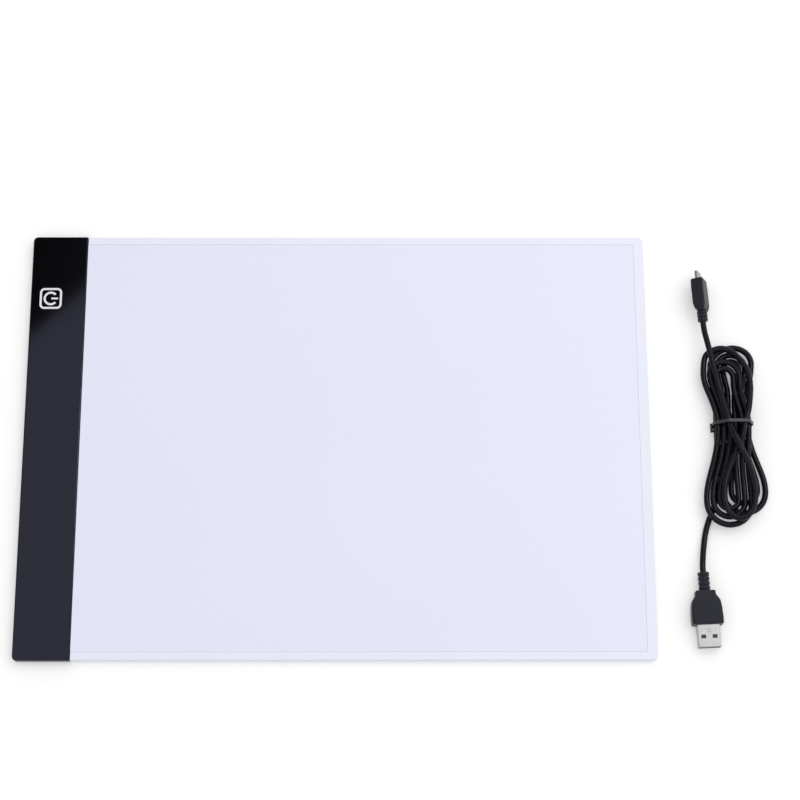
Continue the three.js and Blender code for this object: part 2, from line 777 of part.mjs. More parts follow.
// The small plug: its wide side is upright before it is rolled
function micro_plug() {
  const plug = new THREE.Group();
  plug.position.set(micro_place.x, micro_place.y, micro_place.z);
  const [turn, roll] = [micro_turn_degrees, micro_roll_degrees].map(THREE.MathUtils.degToRad);
  plug.rotation.set(0, roll, turn, 'ZYX');
  const body_start = micro_relief.length + moulding_gap;
  const shell_start = body_start + micro_body.length + moulding_gap;
  const { width, thickness, length, wall, corner } = micro_shell;
  const upright_turn = Math.PI / 2;
  piece('micro_strain_relief', strain_relief(micro_relief), finish.plug_black, plug);
  piece('micro_plug_body',
    plug_body(micro_body_outline, micro_side_outline, micro_body).rotateY(upright_turn).translate(0, body_start, 0),
    finish.plug_black, plug);
  piece('micro_plug_shell',
    oblong_tube(width, thickness, length, wall, corner).rotateY(upright_turn).translate(0, shell_start, 0),
    finish.steel, plug);
  const half_thickness = thickness / 2 - wall - micro_tongue.clearance;
  const half = width / 2 - wall - corner / 2 - micro_tongue.clearance;
  piece('micro_plug_tongue',
    block(symmetric(half_thickness), [shell_start, shell_start + micro_tongue.length], symmetric(half)),
    finish.chip_black, plug);
  return plug;
}

function large_plug_shell(length) {
  const { width, thickness, wall, corner } = large_shell;
  let shell = solid(oblong_tube(width, thickness, length, wall, corner));
  const middle = length - window.from_front;
  for (const side of [-1, 1]) {
    const x = side * window.spacing / 2;
    shell = shell.subtract(solid(block(
      [x - window.width / 2, x + window.width / 2],
      [middle - window.length / 2, middle + window.length / 2],
      symmetric(thickness / 2 + overrun),
    )));
  }
  return geometry_of(shell);
}

// The large plug: its insulator fills the upper half of the shell, with the contacts under it
function large_plug() {
  const plug = new THREE.Group();
  plug.position.set(large_place.x, large_place.y, large_body.thickness / 2);
  plug.rotation.z = THREE.MathUtils.degToRad(large_turn_degrees);
  const body_start = large_relief.length + moulding_gap;
  const shell_start = body_start + large_body.length + moulding_gap;
  const front = shell_start + large_shell.length;
  const inner_top = large_shell.thickness / 2 - large_shell.wall - large_tongue.clearance;
  const inner_half = large_shell.width / 2 - large_shell.wall - large_shell.corner / 2;
  const tongue_bottom = inner_top - large_tongue.thickness;
  piece('usb_a_strain_relief', strain_relief(large_relief), finish.plug_black, plug);
  piece('usb_a_plug_body',
    plug_body(large_body_outline, large_side_outline, large_body).translate(0, body_start, 0),
    finish.plug_black, plug);
  piece('usb_a_plug_shell', large_plug_shell(large_shell.length).translate(0, shell_start, 0), finish.steel, plug);
  piece('usb_a_plug_tongue',
    block(symmetric(inner_half), [shell_start, front - large_tongue.recess], [tongue_bottom, inner_top]),
    finish.chip_black, plug);
  contact_places.forEach(({ x, length }, i) => {
    const contact_top = tongue_bottom - film_gap;
    piece(`usb_a_contact_${i + 1}`,
      block(
        [x - contact.width / 2, x + contact.width / 2],
        [front - contact.recess - length, front - contact.recess],
        [contact_top - contact.thickness, contact_top],
      ),
      finish.gold, plug);
  });
  return plug;
}

// A closed line that runs at one distance round all the corners of a convex outline
function belt(corners, distance) {
  const points = [];
  corners.forEach(([x, z], i) => {
    const [last_x, last_z] = corners.at(i - 1);
    const [next_x, next_z] = corners[(i + 1) % corners.length];
    const start = Math.atan2(z - last_z, x - last_x) - Math.PI / 2;
    const end = Math.atan2(next_z - z, next_x - x) - Math.PI / 2;
    const turn = THREE.MathUtils.euclideanModulo(end - start, 2 * Math.PI);
    for (let k = 0; k <= curve_steps; k += 1) {
      const angle = start + turn * k / curve_steps;
      points.push(new THREE.Vector2(x + distance * Math.cos(angle), z + distance * Math.sin(angle)));
    }
  });
  return points;
}

// The tie: a flat band drawn tight round the waist, with a short twisted tail along its left side
function hank_tie() {
  const left = -(first_turn_share + loops_per_layer - 0.5) * waist_pitch;
  const right = (first_turn_share + loops_per_layer - 1) * waist_pitch;
  const [low_shift, high_shift] = waist_shifts;
  const [low, high] = [0, 1].map((level) => cord_height(level, 0));
  const corners = [
    [left + low_shift, low], [right + low_shift, low], [right + high_shift, high],
    [upper_strands.right, upper_strands.height], [upper_strands.left, upper_strands.height],
    [left + high_shift, high],
  ];
  const inner = cord_diameter / 2 + tie.gap;
  const band = new THREE.Shape(belt(corners, inner + tie.thickness));
  band.holes.push(new THREE.Path(belt(corners, inner)));
  const ring = slab(band, symmetric(tie.width / 2)).rotateX(Math.PI / 2);
  const tail_right = left + low_shift - inner - tie.thickness + tie_tail.sink;
  const tail = block(
    [tail_right - tie_tail.width, tail_right],
    [-tie_tail.length, tie.width / 2],
    [low - tie_tail.thickness / 2, low + tie_tail.thickness / 2],
  );
  return geometry_of(solid(ring).add(solid(tail))).translate(hank_x, hank_y, 0);
}

piece('back_cover', back_cover(), finish.white_plastic, pad);
piece('top_panel', top_panel(), finish.opal_acrylic, pad);
piece('panel_tape', panel_tape(), finish.pale_tape, pad);
piece('diffuser_sheet', sheet(shield_right + sheet_clearance, [diffuser_bottom, diffuser_top]), finish.white_film, pad);
piece('light_guide', sheet(guide_left, [guide_bottom, guide_top]), finish.clear_acrylic, pad);
piece('reflector_sheet', sheet(guide_left, [reflector_bottom, reflector_top]), finish.white_film, pad);
piece('strip_cover', strip_cover(), finish.black_gloss, pad);
piece('strip_tape', strip_tape(), finish.pale_tape, pad);
piece('led_bar', led_bar(), finish.white_board, pad);
piece('bar_tape', bar_tape(), finish.pale_tape, pad);
piece('light_shield', light_shield(), finish.black_tape, pad);
piece('control_board', control_board(), finish.green_board, pad);
piece('board_tape', board_tape(), finish.pale_tape, pad);
piece('usb_socket_shell', usb_socket_shell(), finish.steel, pad);
piece('usb_socket_tongue', usb_socket_tongue(), finish.chip_black, pad);
const electrode_range = [electrode_bottom, electrode_bottom + electrode_thickness];
piece('touch_electrode', upright(electrode_diameter, electrode_range, mark, 4 * curve_steps), finish.copper, pad);
const contact_range = [part_bottom, electrode_bottom - film_gap];
piece('touch_contact', upright(contact_diameter, contact_range, mark, 2 * curve_steps), finish.foam, pad);
for (const [name, part] of Object.entries(board_parts)) {
  piece(name, board_part(part), part.look, pad);
}
piece('led_wire_positive', led_wire(1), finish.red_wire, pad);
piece('led_wire_negative', led_wire(-1), finish.black_wire, pad);
for (const [name, x_side, y_side] of [
  ['foot_near_left', -1, -1], ['foot_near_right', 1, -1], ['foot_far_left', -1, 1], ['foot_far_right', 1, 1],
]) {
  const place = { x: x_side * (half_length - foot_inset), y: y_side * (half_width - foot_inset) };
  piece(name, upright(foot_diameter, [0, foot_height], place, 4 * curve_steps), finish.rubber, pad);
}

const small = micro_plug();
const large = large_plug();
lead.add(small, large);
object.updateMatrixWorld(true);
const axis_of = (plug) => new THREE.Vector3(0, 1, 0).transformDirection(plug.matrixWorld);

const hank = hank_route();
const [hank_start, hank_second] = hank;
const [hank_before, hank_end] = hank.slice(-2);
const heading = (from, to) => to.clone().sub(from).normalize();
const plug_end = free_route(
  hank_end, heading(hank_before, hank_end), plug_end_route, small.position, axis_of(small),
);
const usb_end = free_route(
  hank_start, heading(hank_second, hank_start), usb_end_route, large.position, axis_of(large),
);
piece('lead_hank', wound_tube(hank, cord_diameter), finish.cord_black, lead);
piece('lead_plug_end', cord_tube(plug_end, cord_diameter, cord_step), finish.cord_black, lead);
piece('lead_usb_end', cord_tube(usb_end, cord_diameter, cord_step), finish.cord_black, lead);
piece('hank_tie', hank_tie(), finish.plug_black, lead);

const hank_gap = least_gap(hank, hank, gap_skip);
console.log(`hank: least gap to itself ${hank_gap.toFixed(2)} mm (over ${least_gap_allowed} mm is right)`);
console.log(`lead: ${[hank, plug_end, usb_end].map((route) => length_of(route).toFixed(0)).join(' + ')} mm of cord`);

export default object;
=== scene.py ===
import math

import bmesh
import bpy
from mathutils import Matrix, Vector


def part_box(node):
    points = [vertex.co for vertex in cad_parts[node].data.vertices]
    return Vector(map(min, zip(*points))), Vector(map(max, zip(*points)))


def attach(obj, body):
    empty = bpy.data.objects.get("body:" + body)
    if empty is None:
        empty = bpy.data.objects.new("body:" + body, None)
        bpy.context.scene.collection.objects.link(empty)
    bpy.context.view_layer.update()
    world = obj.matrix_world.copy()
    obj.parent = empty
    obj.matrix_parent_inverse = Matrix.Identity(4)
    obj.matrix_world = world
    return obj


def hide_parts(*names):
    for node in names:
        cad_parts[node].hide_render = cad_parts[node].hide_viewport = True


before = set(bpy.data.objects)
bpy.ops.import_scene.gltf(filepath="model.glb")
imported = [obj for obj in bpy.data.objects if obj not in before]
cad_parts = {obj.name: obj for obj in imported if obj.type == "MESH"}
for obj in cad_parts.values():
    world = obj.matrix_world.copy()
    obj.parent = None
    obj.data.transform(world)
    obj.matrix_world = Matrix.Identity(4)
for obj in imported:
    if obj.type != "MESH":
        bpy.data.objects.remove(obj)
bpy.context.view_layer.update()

# The camera
# It looks down on the pad from its near side, as the photograph does.
bpy.ops.object.camera_add()
camera = bpy.context.active_object
camera.data.lens = 94.197
camera_place = (0.028707, -0.307053, 1.080471)
camera_heading, camera_tilt, camera_roll = -0.88353, 17.0901, 0.84137
camera.matrix_world = (
    Matrix.Translation(camera_place)
    @ Matrix.Rotation(math.radians(camera_heading), 4, "Z")
    @ Matrix.Rotation(math.radians(camera_tilt), 4, "X")
    @ Matrix.Rotation(math.radians(camera_roll), 4, "Z")
)
bpy.context.scene.camera = camera
bpy.context.scene.view_settings.view_transform = "Standard"

# The lead's cord
# A thin round cable with a black vinyl jacket. Most of it is wound in a hank of two layers, drawn
# in at the waist, with the turns against each other. Its two ends run out of it to the plugs.
mm = 0.001
cord_diameter = 3.2 * mm
hank_x, hank_y = 212.1 * mm, 10 * mm
loops_per_layer = 3
waist_pitch = 3.3 * mm
layer_rise = 3.7 * mm
first_turn_share = 0.25

# Each pair is for the lower and the upper layer: how far out the outer fold's middle lies, how far
# the lobe leans to the right, the pitch of its turns, and how much wider than at the waist it is.
# Each fold inside the outer one slips in a little, and a high onset keeps the swell near the fold.
top_lobe = {
    "folds": (32.8 * mm, 27.4 * mm), "slip": 0.35 * mm, "leans": (1.7 * mm, -4 * mm),
    "pitches": (3.35 * mm, 3.4 * mm), "swells": (2.7 * mm, 1.2 * mm), "onset": 5,
}
bottom_lobe = {
    "folds": (38.2 * mm, 44.4 * mm), "slip": 1 * mm, "leans": (3.9 * mm, -3.1 * mm),
    "pitches": (4.3 * mm, 3.35 * mm), "swells": (2.6 * mm, 3.4 * mm), "onset": 2,
}
loose_turn = (2 * mm, 0.8 * mm)
waist_shifts = (0.6 * mm, 0.9 * mm)
waist_lift = 1 * mm
waist_reach = 28 * mm

# The middle run climbs from the lower to the upper layer over this length
climb_length = 36 * mm
steps_per_run = 12
steps_per_fold = 10
jacket_step = 1.2 * mm

# From the hank's upper end round its last loop to the small plug, in millimetres
plug_end_route = [
    (199.3, 48.6, 5.3), (203.1, 51.5, 5.3), (208.2, 52.6, 5.5), (212.9, 50.5, 6.3),
    (216.7, 46.4, 7.6), (219.8, 41.3, 8.6), (221.5, 36.0, 8.9), (221.9, 29.7, 9.1),
    (221.2, 22.6, 9.5), (220.0, 16.0, 10.1), (217.9, 9.5, 10.2), (216.4, 3.0, 9.9),
    (213.9, -4.0, 9.3), (210.6, -11.0, 9.1), (207.4, -18.5, 9.1), (205.6, -26.0, 9.1),
    (205.4, -33.0, 9.1), (207.4, -39.2, 9.1), (211.9, -42.6, 9.1), (216.9, -41.4, 9.1),
    (220.3, -36.6, 9.1), (221.6, -30.2, 9.2), (220.9, -22.5, 9.9), (218.7, -14.6, 11.6),
    (215.4, -7.0, 13.2), (212.0, 1.0, 12.6), (209.7, 9.5, 10.3), (207.6, 18.0, 9.8),
    (205.7, 26.5, 9.3), (203.9, 35.0, 9.2), (202.3, 43.0, 9.1), (200.9, 50.5, 8.9),
    (199.9, 56.0, 8.2), (199.1, 60.7, 7.2),
]

# From the hank's lower end to the large plug, in millimetres
usb_end_route = [
    (200.4, -35.0, 1.65), (198.6, -39.4, 1.6), (196.9, -43.8, 1.6), (195.5, -48.6, 1.6),
    (194.5, -53.6, 1.8), (193.7, -58.6, 2.5), (193.1, -63.4, 3.4),
]


def ease(share):
    share = min(max(share, 0), 1)
    return share * share * (3 - 2 * share)


def fold_centre(lobe, layer, turns):
    return lobe["folds"][layer] - lobe["slip"] * (loops_per_layer - turns)


def hank_point(x, v, level):
    lift = waist_lift * (1 - ease(abs(v) / waist_reach))
    return Vector((hank_x + x, hank_y + v, cord_diameter / 2 + level * layer_rise + lift))


def hank_run(run, turning_run):
    """One run between two folds: those on the left go up the hank, those on the right come down."""
    turns = abs(turning_run - run) / 2
    goes_up = run % 2 == 0
    side = -1 if goes_up else 1
    from_layer, to_layer = int(run > turning_run), int(run >= turning_run)
    top = fold_centre(top_lobe, to_layer if goes_up else from_layer, turns)
    bottom = -fold_centre(bottom_lobe, from_layer if goes_up else to_layer, turns)
    start, end = (bottom, top) if goes_up else (top, bottom)
    points = []
    for i in range(steps_per_run + 1):
        v = start + (end - start) * i / steps_per_run
        lobe = top_lobe if v > 0 else bottom_lobe
        layer, level = to_layer, to_layer
        if run == turning_run:
            layer = int(v <= 0)
            level = min(max(0.5 - v / climb_length, 0), 1)
        reach = ease(abs(v) / fold_centre(lobe, layer, 0))
        swell = lobe["swells"][layer] * reach ** lobe["onset"]
        pitch = waist_pitch + (lobe["pitches"][layer] - waist_pitch) * reach
        half_width = (first_turn_share + turns) * pitch + swell
        shift = waist_shifts[0] + (waist_shifts[1] - waist_shifts[0]) * level
        middle = shift + (lobe["leans"][layer] - shift) * reach
        points.append(hank_point(middle + side * half_width, v, level))
    return points


def hank_fold(run, turning_run):
    """The fold after a run, in which the loop grows or shrinks by half a turn. The first one, the
    outermost, is a loose turn that strays outwards as it comes round to the right."""
    goes_up = run % 2 == 0
    side, along = (-1, 1) if goes_up else (1, -1)
    lobe = top_lobe if goes_up else bottom_lobe
    layer = int(run >= turning_run)
    first, last = abs(turning_run - run) / 2, abs(turning_run - run - 1) / 2
    points = []
    for i in range(1, steps_per_fold):
        share = i / steps_per_fold
        turns = first + (last - first) * share
        radius = (first_turn_share + turns) * lobe["pitches"][layer] + lobe["swells"][layer]
        x = lobe["leans"][layer] + side * radius * math.cos(math.pi * share)
        v = fold_centre(lobe, layer, turns) + radius * math.sin(math.pi * share)
        if run == 0:
            stray = share * math.sin(math.pi * share)
            x += loose_turn[0] * stray
            v += loose_turn[1] * stray
        points.append(hank_point(x, along * v, layer))
    return points


def smooth_line(points, step):
    """Points at equal steps along a smooth curve through the given ones, and the curve's length."""
    ends = [points[0] * 2 - points[1], *points, points[-1] * 2 - points[-2]]
    fine, fine_steps = [points[0]], 12
    for p0, p1, p2, p3 in zip(ends, ends[1:], ends[2:], ends[3:]):
        t1 = math.sqrt((p1 - p0).length)
        t2 = t1 + math.sqrt((p2 - p1).length)
        t3 = t2 + math.sqrt((p3 - p2).length)
        for i in range(1, fine_steps + 1):
            t = t1 + (t2 - t1) * i / fine_steps
            a1 = p0.lerp(p1, t / t1)
            a2 = p1.lerp(p2, (t - t1) / (t2 - t1))
            a3 = p2.lerp(p3, (t - t2) / (t3 - t2))
            b1 = a1.lerp(a2, t / t2)
            b2 = a2.lerp(a3, (t - t1) / (t3 - t1))
            fine.append(b1.lerp(b2, (t - t1) / (t2 - t1)))
    lengths = [0.0]
    for a, b in zip(fine, fine[1:]):
        lengths.append(lengths[-1] + (b - a).length)
    count = round(lengths[-1] / step)
    line, k = [], 0
    for i in range(count + 1):
        wanted = lengths[-1] * i / count
        while k + 2 < len(fine) and lengths[k + 1] < wanted:
            k += 1
        share = (wanted - lengths[k]) / (lengths[k + 1] - lengths[k])
        line.append(fine[k].lerp(fine[k + 1], share))
    return line, lengths[-1]


# Where each plug's strain relief begins, and which way its plug points
small_plug_heading, small_plug_tilt = math.radians(3.6), math.radians(-24)
small_plug_place = (
    Matrix.Translation((198.5 * mm, 67.9 * mm, 6.4 * mm))
    @ Matrix.Rotation(small_plug_heading, 4, "Z")
    @ Matrix.Rotation(small_plug_tilt, 4, "Y")
)
large_plug_heading = math.radians(182.4)
large_plug_place = (
    Matrix.Translation((192.85 * mm, -71 * mm, 4 * mm))
    @ Matrix.Rotation(large_plug_heading, 4, "Z")
)
small_end, large_end = small_plug_place.translation, large_plug_place.translation
small_axis = small_plug_place.to_3x3() @ Vector((0, 1, 0))
large_axis = large_plug_place.to_3x3() @ Vector((0, 1, 0))

# The winding starts at the lower layer's outermost turn, goes in to this run, where it climbs, and
# comes out again in the upper layer
turning_run = 2 * loops_per_layer - 1
hank_line = []
for run in range(2 * turning_run + 1):
    hank_line += hank_run(run, turning_run)
    if run < 2 * turning_run:
        hank_line += hank_fold(run, turning_run)
lead_points = [
    large_end,
    large_end - large_axis * cord_diameter,
    *(Vector(point) * mm for point in reversed(usb_end_route)),
    *hank_line,
    *(Vector(point) * mm for point in plug_end_route),
    small_end - small_axis * cord_diameter,
    small_end,
]
lead_line, lead_length = smooth_line(lead_points, jacket_step)
for point in lead_line:
    point.z = max(point.z, cord_diameter / 2)

lead_curve = bpy.data.curves.new("lead_cord", "CURVE")
lead_curve.dimensions = "3D"
lead_curve.bevel_depth = cord_diameter / 2
lead_curve.bevel_resolution = 6
lead_curve.use_fill_caps = True
lead_spline = lead_curve.splines.new("POLY")
lead_spline.points.add(len(lead_line) - 1)
for curve_point, point in zip(lead_spline.points, lead_line):
    curve_point.co = (*point, 1)
lead_cord = bpy.data.objects.new("lead_cord", lead_curve)
bpy.context.collection.objects.link(lead_cord)


class Signal:
    """One output in a material's nodes, with which sums can be written as for a number."""

    def __init__(self, tree, socket):
        self.tree = tree
        self.socket = socket

    def sum(self, operation, *values):
        node = self.tree.nodes.new("ShaderNodeMath")
        node.operation = operation
        for entry, value in zip(node.inputs, values):
            if isinstance(value, Signal):
                self.tree.links.new(value.socket, entry)
            else:
                entry.default_value = value
        return Signal(self.tree, node.outputs[0])

    def __add__(self, other):
        return self.sum("ADD", self, other)

    def __radd__(self, other):
        return self.sum("ADD", other, self)

    def __sub__(self, other):
        return self.sum("SUBTRACT", self, other)

    def __rsub__(self, other):
        return self.sum("SUBTRACT", other, self)

    def __mul__(self, other):
        return self.sum("MULTIPLY", self, other)

    def __rmul__(self, other):
        return self.sum("MULTIPLY", other, self)

    def __truediv__(self, other):
        return self.sum("DIVIDE", self, other)

    def __rtruediv__(self, other):
        return self.sum("DIVIDE", other, self)

    def __gt__(self, other):
        return self.sum("GREATER_THAN", self, other)

    def __lt__(self, other):
        return self.sum("LESS_THAN", self, other)

    def __abs__(self):
        return self.sum("ABSOLUTE", self)

    def zigzag(self, top):
        """Rises from 0 to the top and falls back to 0, again and again."""
        return self.sum("PINGPONG", self, top)

    def larger(self, other):
        return self.sum("MAXIMUM", self, other)


class Finish:
    """A material, whose nodes are added one by one."""

    def __init__(self, name, colour, roughness, metallic=0.0, specular=0.5):
        self.material = bpy.data.materials.new(name)
        self.material.use_nodes = True
        self.tree = self.material.node_tree
        self.shader = self.tree.nodes["Principled BSDF"]
        self.shader.inputs["Base Color"].default_value = (*colour, 1)
        self.shader.inputs["Roughness"].default_value = roughness
        self.shader.inputs["Metallic"].default_value = metallic
        self.shader.inputs["Specular IOR Level"].default_value = specular

    def node(self, kind, settings=None, values=None, output=0):
        node = self.tree.nodes.new(kind)
        for setting, value in (settings or {}).items():
            setattr(node, setting, value)
        for entry, value in (values or {}).items():
            self.connect(value, node.inputs[entry])
        return Signal(self.tree, node.outputs[output])

    def connect(self, value, entry):
        if isinstance(value, Signal):
            self.tree.links.new(value.socket, entry)
        else:
            entry.default_value = value

    def feed(self, entry, value):
        self.connect(value, self.shader.inputs[entry])

    def place(self):
        return self.node("ShaderNodeTexCoord", output="Object")

    def axes(self):
        split = self.tree.nodes.new("ShaderNodeSeparateXYZ")
        self.connect(self.place(), split.inputs[0])
        return [Signal(self.tree, output) for output in split.outputs]

    def noise(self, scale, detail=3.0, stretch=(1, 1, 1)):
        place = self.node("ShaderNodeMapping", values={"Vector": self.place(), "Scale": stretch})
        values = {"Vector": place, "Scale": scale, "Detail": detail}
        return self.node("ShaderNodeTexNoise", values=values)

    def mix(self, share, first, second):
        """A mix of two colours. The node's colour sockets come after those for numbers and vectors."""
        kind = {"data_type": "RGBA"}
        return self.node("ShaderNodeMix", kind, {0: share, 6: first, 7: second}, output=2)

    def tint(self, share, first, second):
        self.feed("Base Color", self.mix(share, (*first, 1), (*second, 1)))

    def polish(self, share, smooth, rough):
        """A roughness that goes from the smooth to the rough value with the share."""
        self.feed("Roughness", smooth + (rough - smooth) * share)

    def bump(self, height, depth):
        values = {"Height": height, "Distance": depth, "Strength": 1.0}
        self.feed("Normal", self.node("ShaderNodeBump", values=values))


def moulded(name, dark, light, roughness, patch, grain, depth, specular=0.5):
    """Moulded plastic or rubber: a colour that drifts a little over broad patches, and a fine grain."""
    finish = Finish(name, light, roughness, specular=specular)
    drift = finish.noise(patch)
    fine = finish.noise(grain, detail=4)
    unevenness = 0.06
    finish.tint(drift, dark, light)
    finish.polish(fine, roughness - unevenness, roughness + unevenness)
    finish.bump(fine, depth)
    return finish


def dress(piece, finish, slot, body, *nodes):
    """The piece gets its finish, rides on its body and stands for its nodes."""
    piece.data.materials.clear()
    piece.data.materials.append(finish.material)
    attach(piece, body)
    if nodes:
        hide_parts(*nodes)


jacket = moulded(
    "cord_jacket", dark=(0.003, 0.003, 0.0042), light=(0.005, 0.005, 0.0068),
    roughness=0.2, patch=180, grain=2600, depth=0.01 * mm, specular=0.18,
)
# Painted reflection colour: this bluish tint on the jacket's reflections stands in for bluish light
# falling on the cord, not for the vinyl's own colour.
jacket.shader.inputs["Specular Tint"].default_value = (0.82, 0.82, 1, 1)
dress(lead_cord, jacket, "cord_jacket", "usb_lead", "lead_hank", "lead_plug_end", "lead_usb_end")

# The small plug's moulding
# Soft black vinyl moulded over the plug and the cord's end: a slim flat grip that stands on its
# narrow side, and a ribbed strain relief behind it.


def work_on(piece):
    bpy.ops.object.select_all(action="DESELECT")
    piece.select_set(True)
    bpy.context.view_layer.objects.active = piece


def select_faces(piece, wanted):
    """In edit mode, leaves just the wanted faces selected."""
    bpy.ops.mesh.select_mode(type="FACE")
    bpy.ops.mesh.select_all(action="DESELECT")
    mesh = bmesh.from_edit_mesh(piece.data)
    for face in mesh.faces:
        face.select_set(bool(wanted(face)))
    bmesh.update_edit_mesh(piece.data)


def edit_whole(piece):
    work_on(piece)
    bpy.ops.object.mode_set(mode="EDIT")
    bpy.ops.mesh.select_all(action="SELECT")


def flat_shape(width, depth, corner, corner_steps):
    """A flat rectangle with rounded corners, its middle at the origin."""
    bpy.ops.object.select_all(action="DESELECT")
    bpy.ops.mesh.primitive_plane_add(size=1)
    piece = bpy.context.active_object
    edit_whole(piece)
    bpy.ops.transform.resize(value=(width, depth, 1), center_override=(0, 0, 0))
    bpy.ops.mesh.bevel(offset=corner, segments=corner_steps, affect="VERTICES")
    bpy.ops.object.mode_set(mode="OBJECT")
    return piece


def drawn_out(name, width, depth, corner, corner_steps, stations):
    """A body drawn out along Z from a rounded flat shape. Each station is a height and the
    shares of the width and the depth that the body has there."""
    piece = flat_shape(width, depth, corner, corner_steps)
    piece.name = name
    edit_whole(piece)
    height, wide, deep = stations[0]
    bpy.ops.transform.resize(value=(wide, deep, 1), center_override=(0, 0, 0))
    bpy.ops.transform.translate(value=(0, 0, height))
    for next_height, next_wide, next_deep in stations[1:]:
        rise = (0, 0, next_height - height)
        bpy.ops.mesh.extrude_region_move(TRANSFORM_OT_translate={"value": rise})
        grow = (next_wide / wide, next_deep / deep, 1)
        bpy.ops.transform.resize(value=grow, center_override=(0, 0, next_height))
        height, wide, deep = next_height, next_wide, next_deep
    bpy.ops.mesh.select_all(action="SELECT")
    bpy.ops.mesh.normals_make_consistent(inside=False)
    bpy.ops.object.mode_set(mode="OBJECT")
    return piece


def even_out(piece, angle=40):
    """Smooth edges, and flat faces that stay flat. The angle, in degrees, is the least of an edge
    that stays sharp."""
    work_on(piece)
    bpy.ops.object.shade_smooth_by_angle(angle=math.radians(angle))
    even = piece.modifiers.new("even", "WEIGHTED_NORMAL")
    even.keep_sharp = True
    bpy.ops.object.modifier_apply(modifier=even.name)


def soften(piece, width, segments=3, angle=25):
    """Rounds the edges that turn by more than the angle, in degrees."""
    work_on(piece)
    bevel = piece.modifiers.new("soften", "BEVEL")
    bevel.width = width
    bevel.segments = segments
    bevel.limit_method = "ANGLE"
    bevel.angle_limit = math.radians(angle)
    bpy.ops.object.modifier_apply(modifier=bevel.name)
    even_out(piece)


def settle(piece, place):
    """Puts the piece in its place and leaves its object at the origin."""
    work_on(piece)
    piece.matrix_world = place
    bpy.ops.object.transform_apply(location=True, rotation=True, scale=True)


# On the small plug, the drawn body's height runs along the plug and its width stands upright
small_plug_model = small_plug_place @ Matrix(((0, 1, 0, 0), (0, 0, 1, 0), (1, 0, 0, 0), (0, 0, 0, 1)))
# The large plug lies flat, with its width to the sides
large_plug_model = large_plug_place @ Matrix(((-1, 0, 0, 0), (0, 0, 1, 0), (0, 1, 0, 0), (0, 0, 0, 1)))

plug_vinyl = moulded(
    "plug_vinyl", dark=(0.0095, 0.01, 0.0175), light=(0.013, 0.014, 0.0235),
    roughness=0.45, patch=160, grain=1500, depth=0.03 * mm, specular=0.17,
)
plug_vinyl.shader.inputs["Sheen Weight"].default_value = 0.12


def ribbed_relief(name, diameter, neck, tip, length, ribs):
    """A round strain relief: rings with necks between them, and a tip of its own size at the cord."""
    pitch = length / ribs
    low = neck / diameter
    profile = [
        (0.0, low), (0.04, 0.97), (0.1, 1.0), (0.64, 1.0), (0.7, 0.97), (0.74, low), (0.96, low),
    ]
    stations = [(0.0, tip / diameter, tip / diameter)]
    for rib in range(ribs):
        for along, share in profile:
            if rib or along:
                stations.append(((rib + along) * pitch, share, share))
    stations.append((length, low, low))
    almost_round = diameter / 2 - 0.001 * mm
    piece = drawn_out(name, diameter, diameter, almost_round, corner_steps=8, stations=stations)
    soften(piece, 0.12 * mm, segments=2, angle=20)
    return piece


# The gap between a plug's relief, grip and tip
plug_gap = 0.1 * mm
small_relief_length = 6.2 * mm
small_body_start = small_relief_length + plug_gap
small_relief = ribbed_relief(
    "small_plug_relief", diameter=5.6 * mm, neck=4.7 * mm, tip=4.4 * mm,
    length=small_relief_length, ribs=3,
)
settle(small_relief, small_plug_model)
dress(small_relief, plug_vinyl, "plug_moulding", "usb_lead", "micro_strain_relief")

small_grip_length = 17.6 * mm
small_grip_stations = [
    (0.0, 0.86, 0.68), (0.4 * mm, 0.94, 0.76), (1.6 * mm, 0.985, 0.88), (3.1 * mm, 1.0, 0.99),
    (3.7 * mm, 1.0, 1.0), (12.0 * mm, 1.0, 1.0), (16.6 * mm, 0.87, 1.0), (17.3 * mm, 0.845, 0.97),
    (small_grip_length, 0.81, 0.9),
]
small_grip = drawn_out(
    "small_plug_grip", width=10.8 * mm, depth=6.8 * mm, corner=1.1 * mm, corner_steps=4,
    stations=small_grip_stations,
)
soften(small_grip, 0.35 * mm)
settle(small_grip, small_plug_model @ Matrix.Translation((0, 0, small_body_start)))
dress(small_grip, plug_vinyl, "plug_moulding", "usb_lead", "micro_plug_body")

# The small plug's tip
# A flat tube of thin plated steel, folded round a black insulator, with a pair of latch slots in
# one of its wide walls.

# A face or an edge is picked by its place, within a margin, and by the axis that it faces or
# follows, which has this share of its direction or more
pick_margin = 0.1 * mm
along_axis = 0.9


def hollow_out(piece, front, wall, depth):
    """Sinks the body's front face in, and leaves a wall round it."""
    edit_whole(piece)
    select_faces(
        piece,
        lambda face: face.normal.z > along_axis and face.calc_center_median().z > front - pick_margin,
    )
    bpy.ops.mesh.inset(thickness=wall)
    bpy.ops.mesh.extrude_region_move(TRANSFORM_OT_translate={"value": (0, 0, -depth)})
    bpy.ops.object.mode_set(mode="OBJECT")


def cut(piece, cutter):
    """Takes the cutter's shape out of the piece, and the cutter away."""
    work_on(piece)
    boolean = piece.modifiers.new("cut", "BOOLEAN")
    boolean.operation = "DIFFERENCE"
    boolean.object = cutter
    bpy.ops.object.modifier_apply(modifier=boolean.name)
    bpy.data.objects.remove(cutter)


def block(name, size, middle):
    bpy.ops.object.select_all(action="DESELECT")
    bpy.ops.mesh.primitive_cube_add(size=1, location=middle, scale=size)
    piece = bpy.context.active_object
    piece.name = name
    bpy.ops.object.transform_apply(location=True, rotation=True, scale=True)
    return piece


plate = Finish("plated_steel", (0.4, 0.39, 0.395), 0.3, metallic=1.0)
plate_streaks = plate.noise(900, stretch=(1, 0.08, 1))
plate_spots = plate.noise(300)
plate.tint(plate_spots, (0.37, 0.36, 0.365), (0.43, 0.42, 0.425))
plate.polish(plate_streaks, 0.24, 0.38)
plate.bump(plate_streaks, 0.008 * mm)

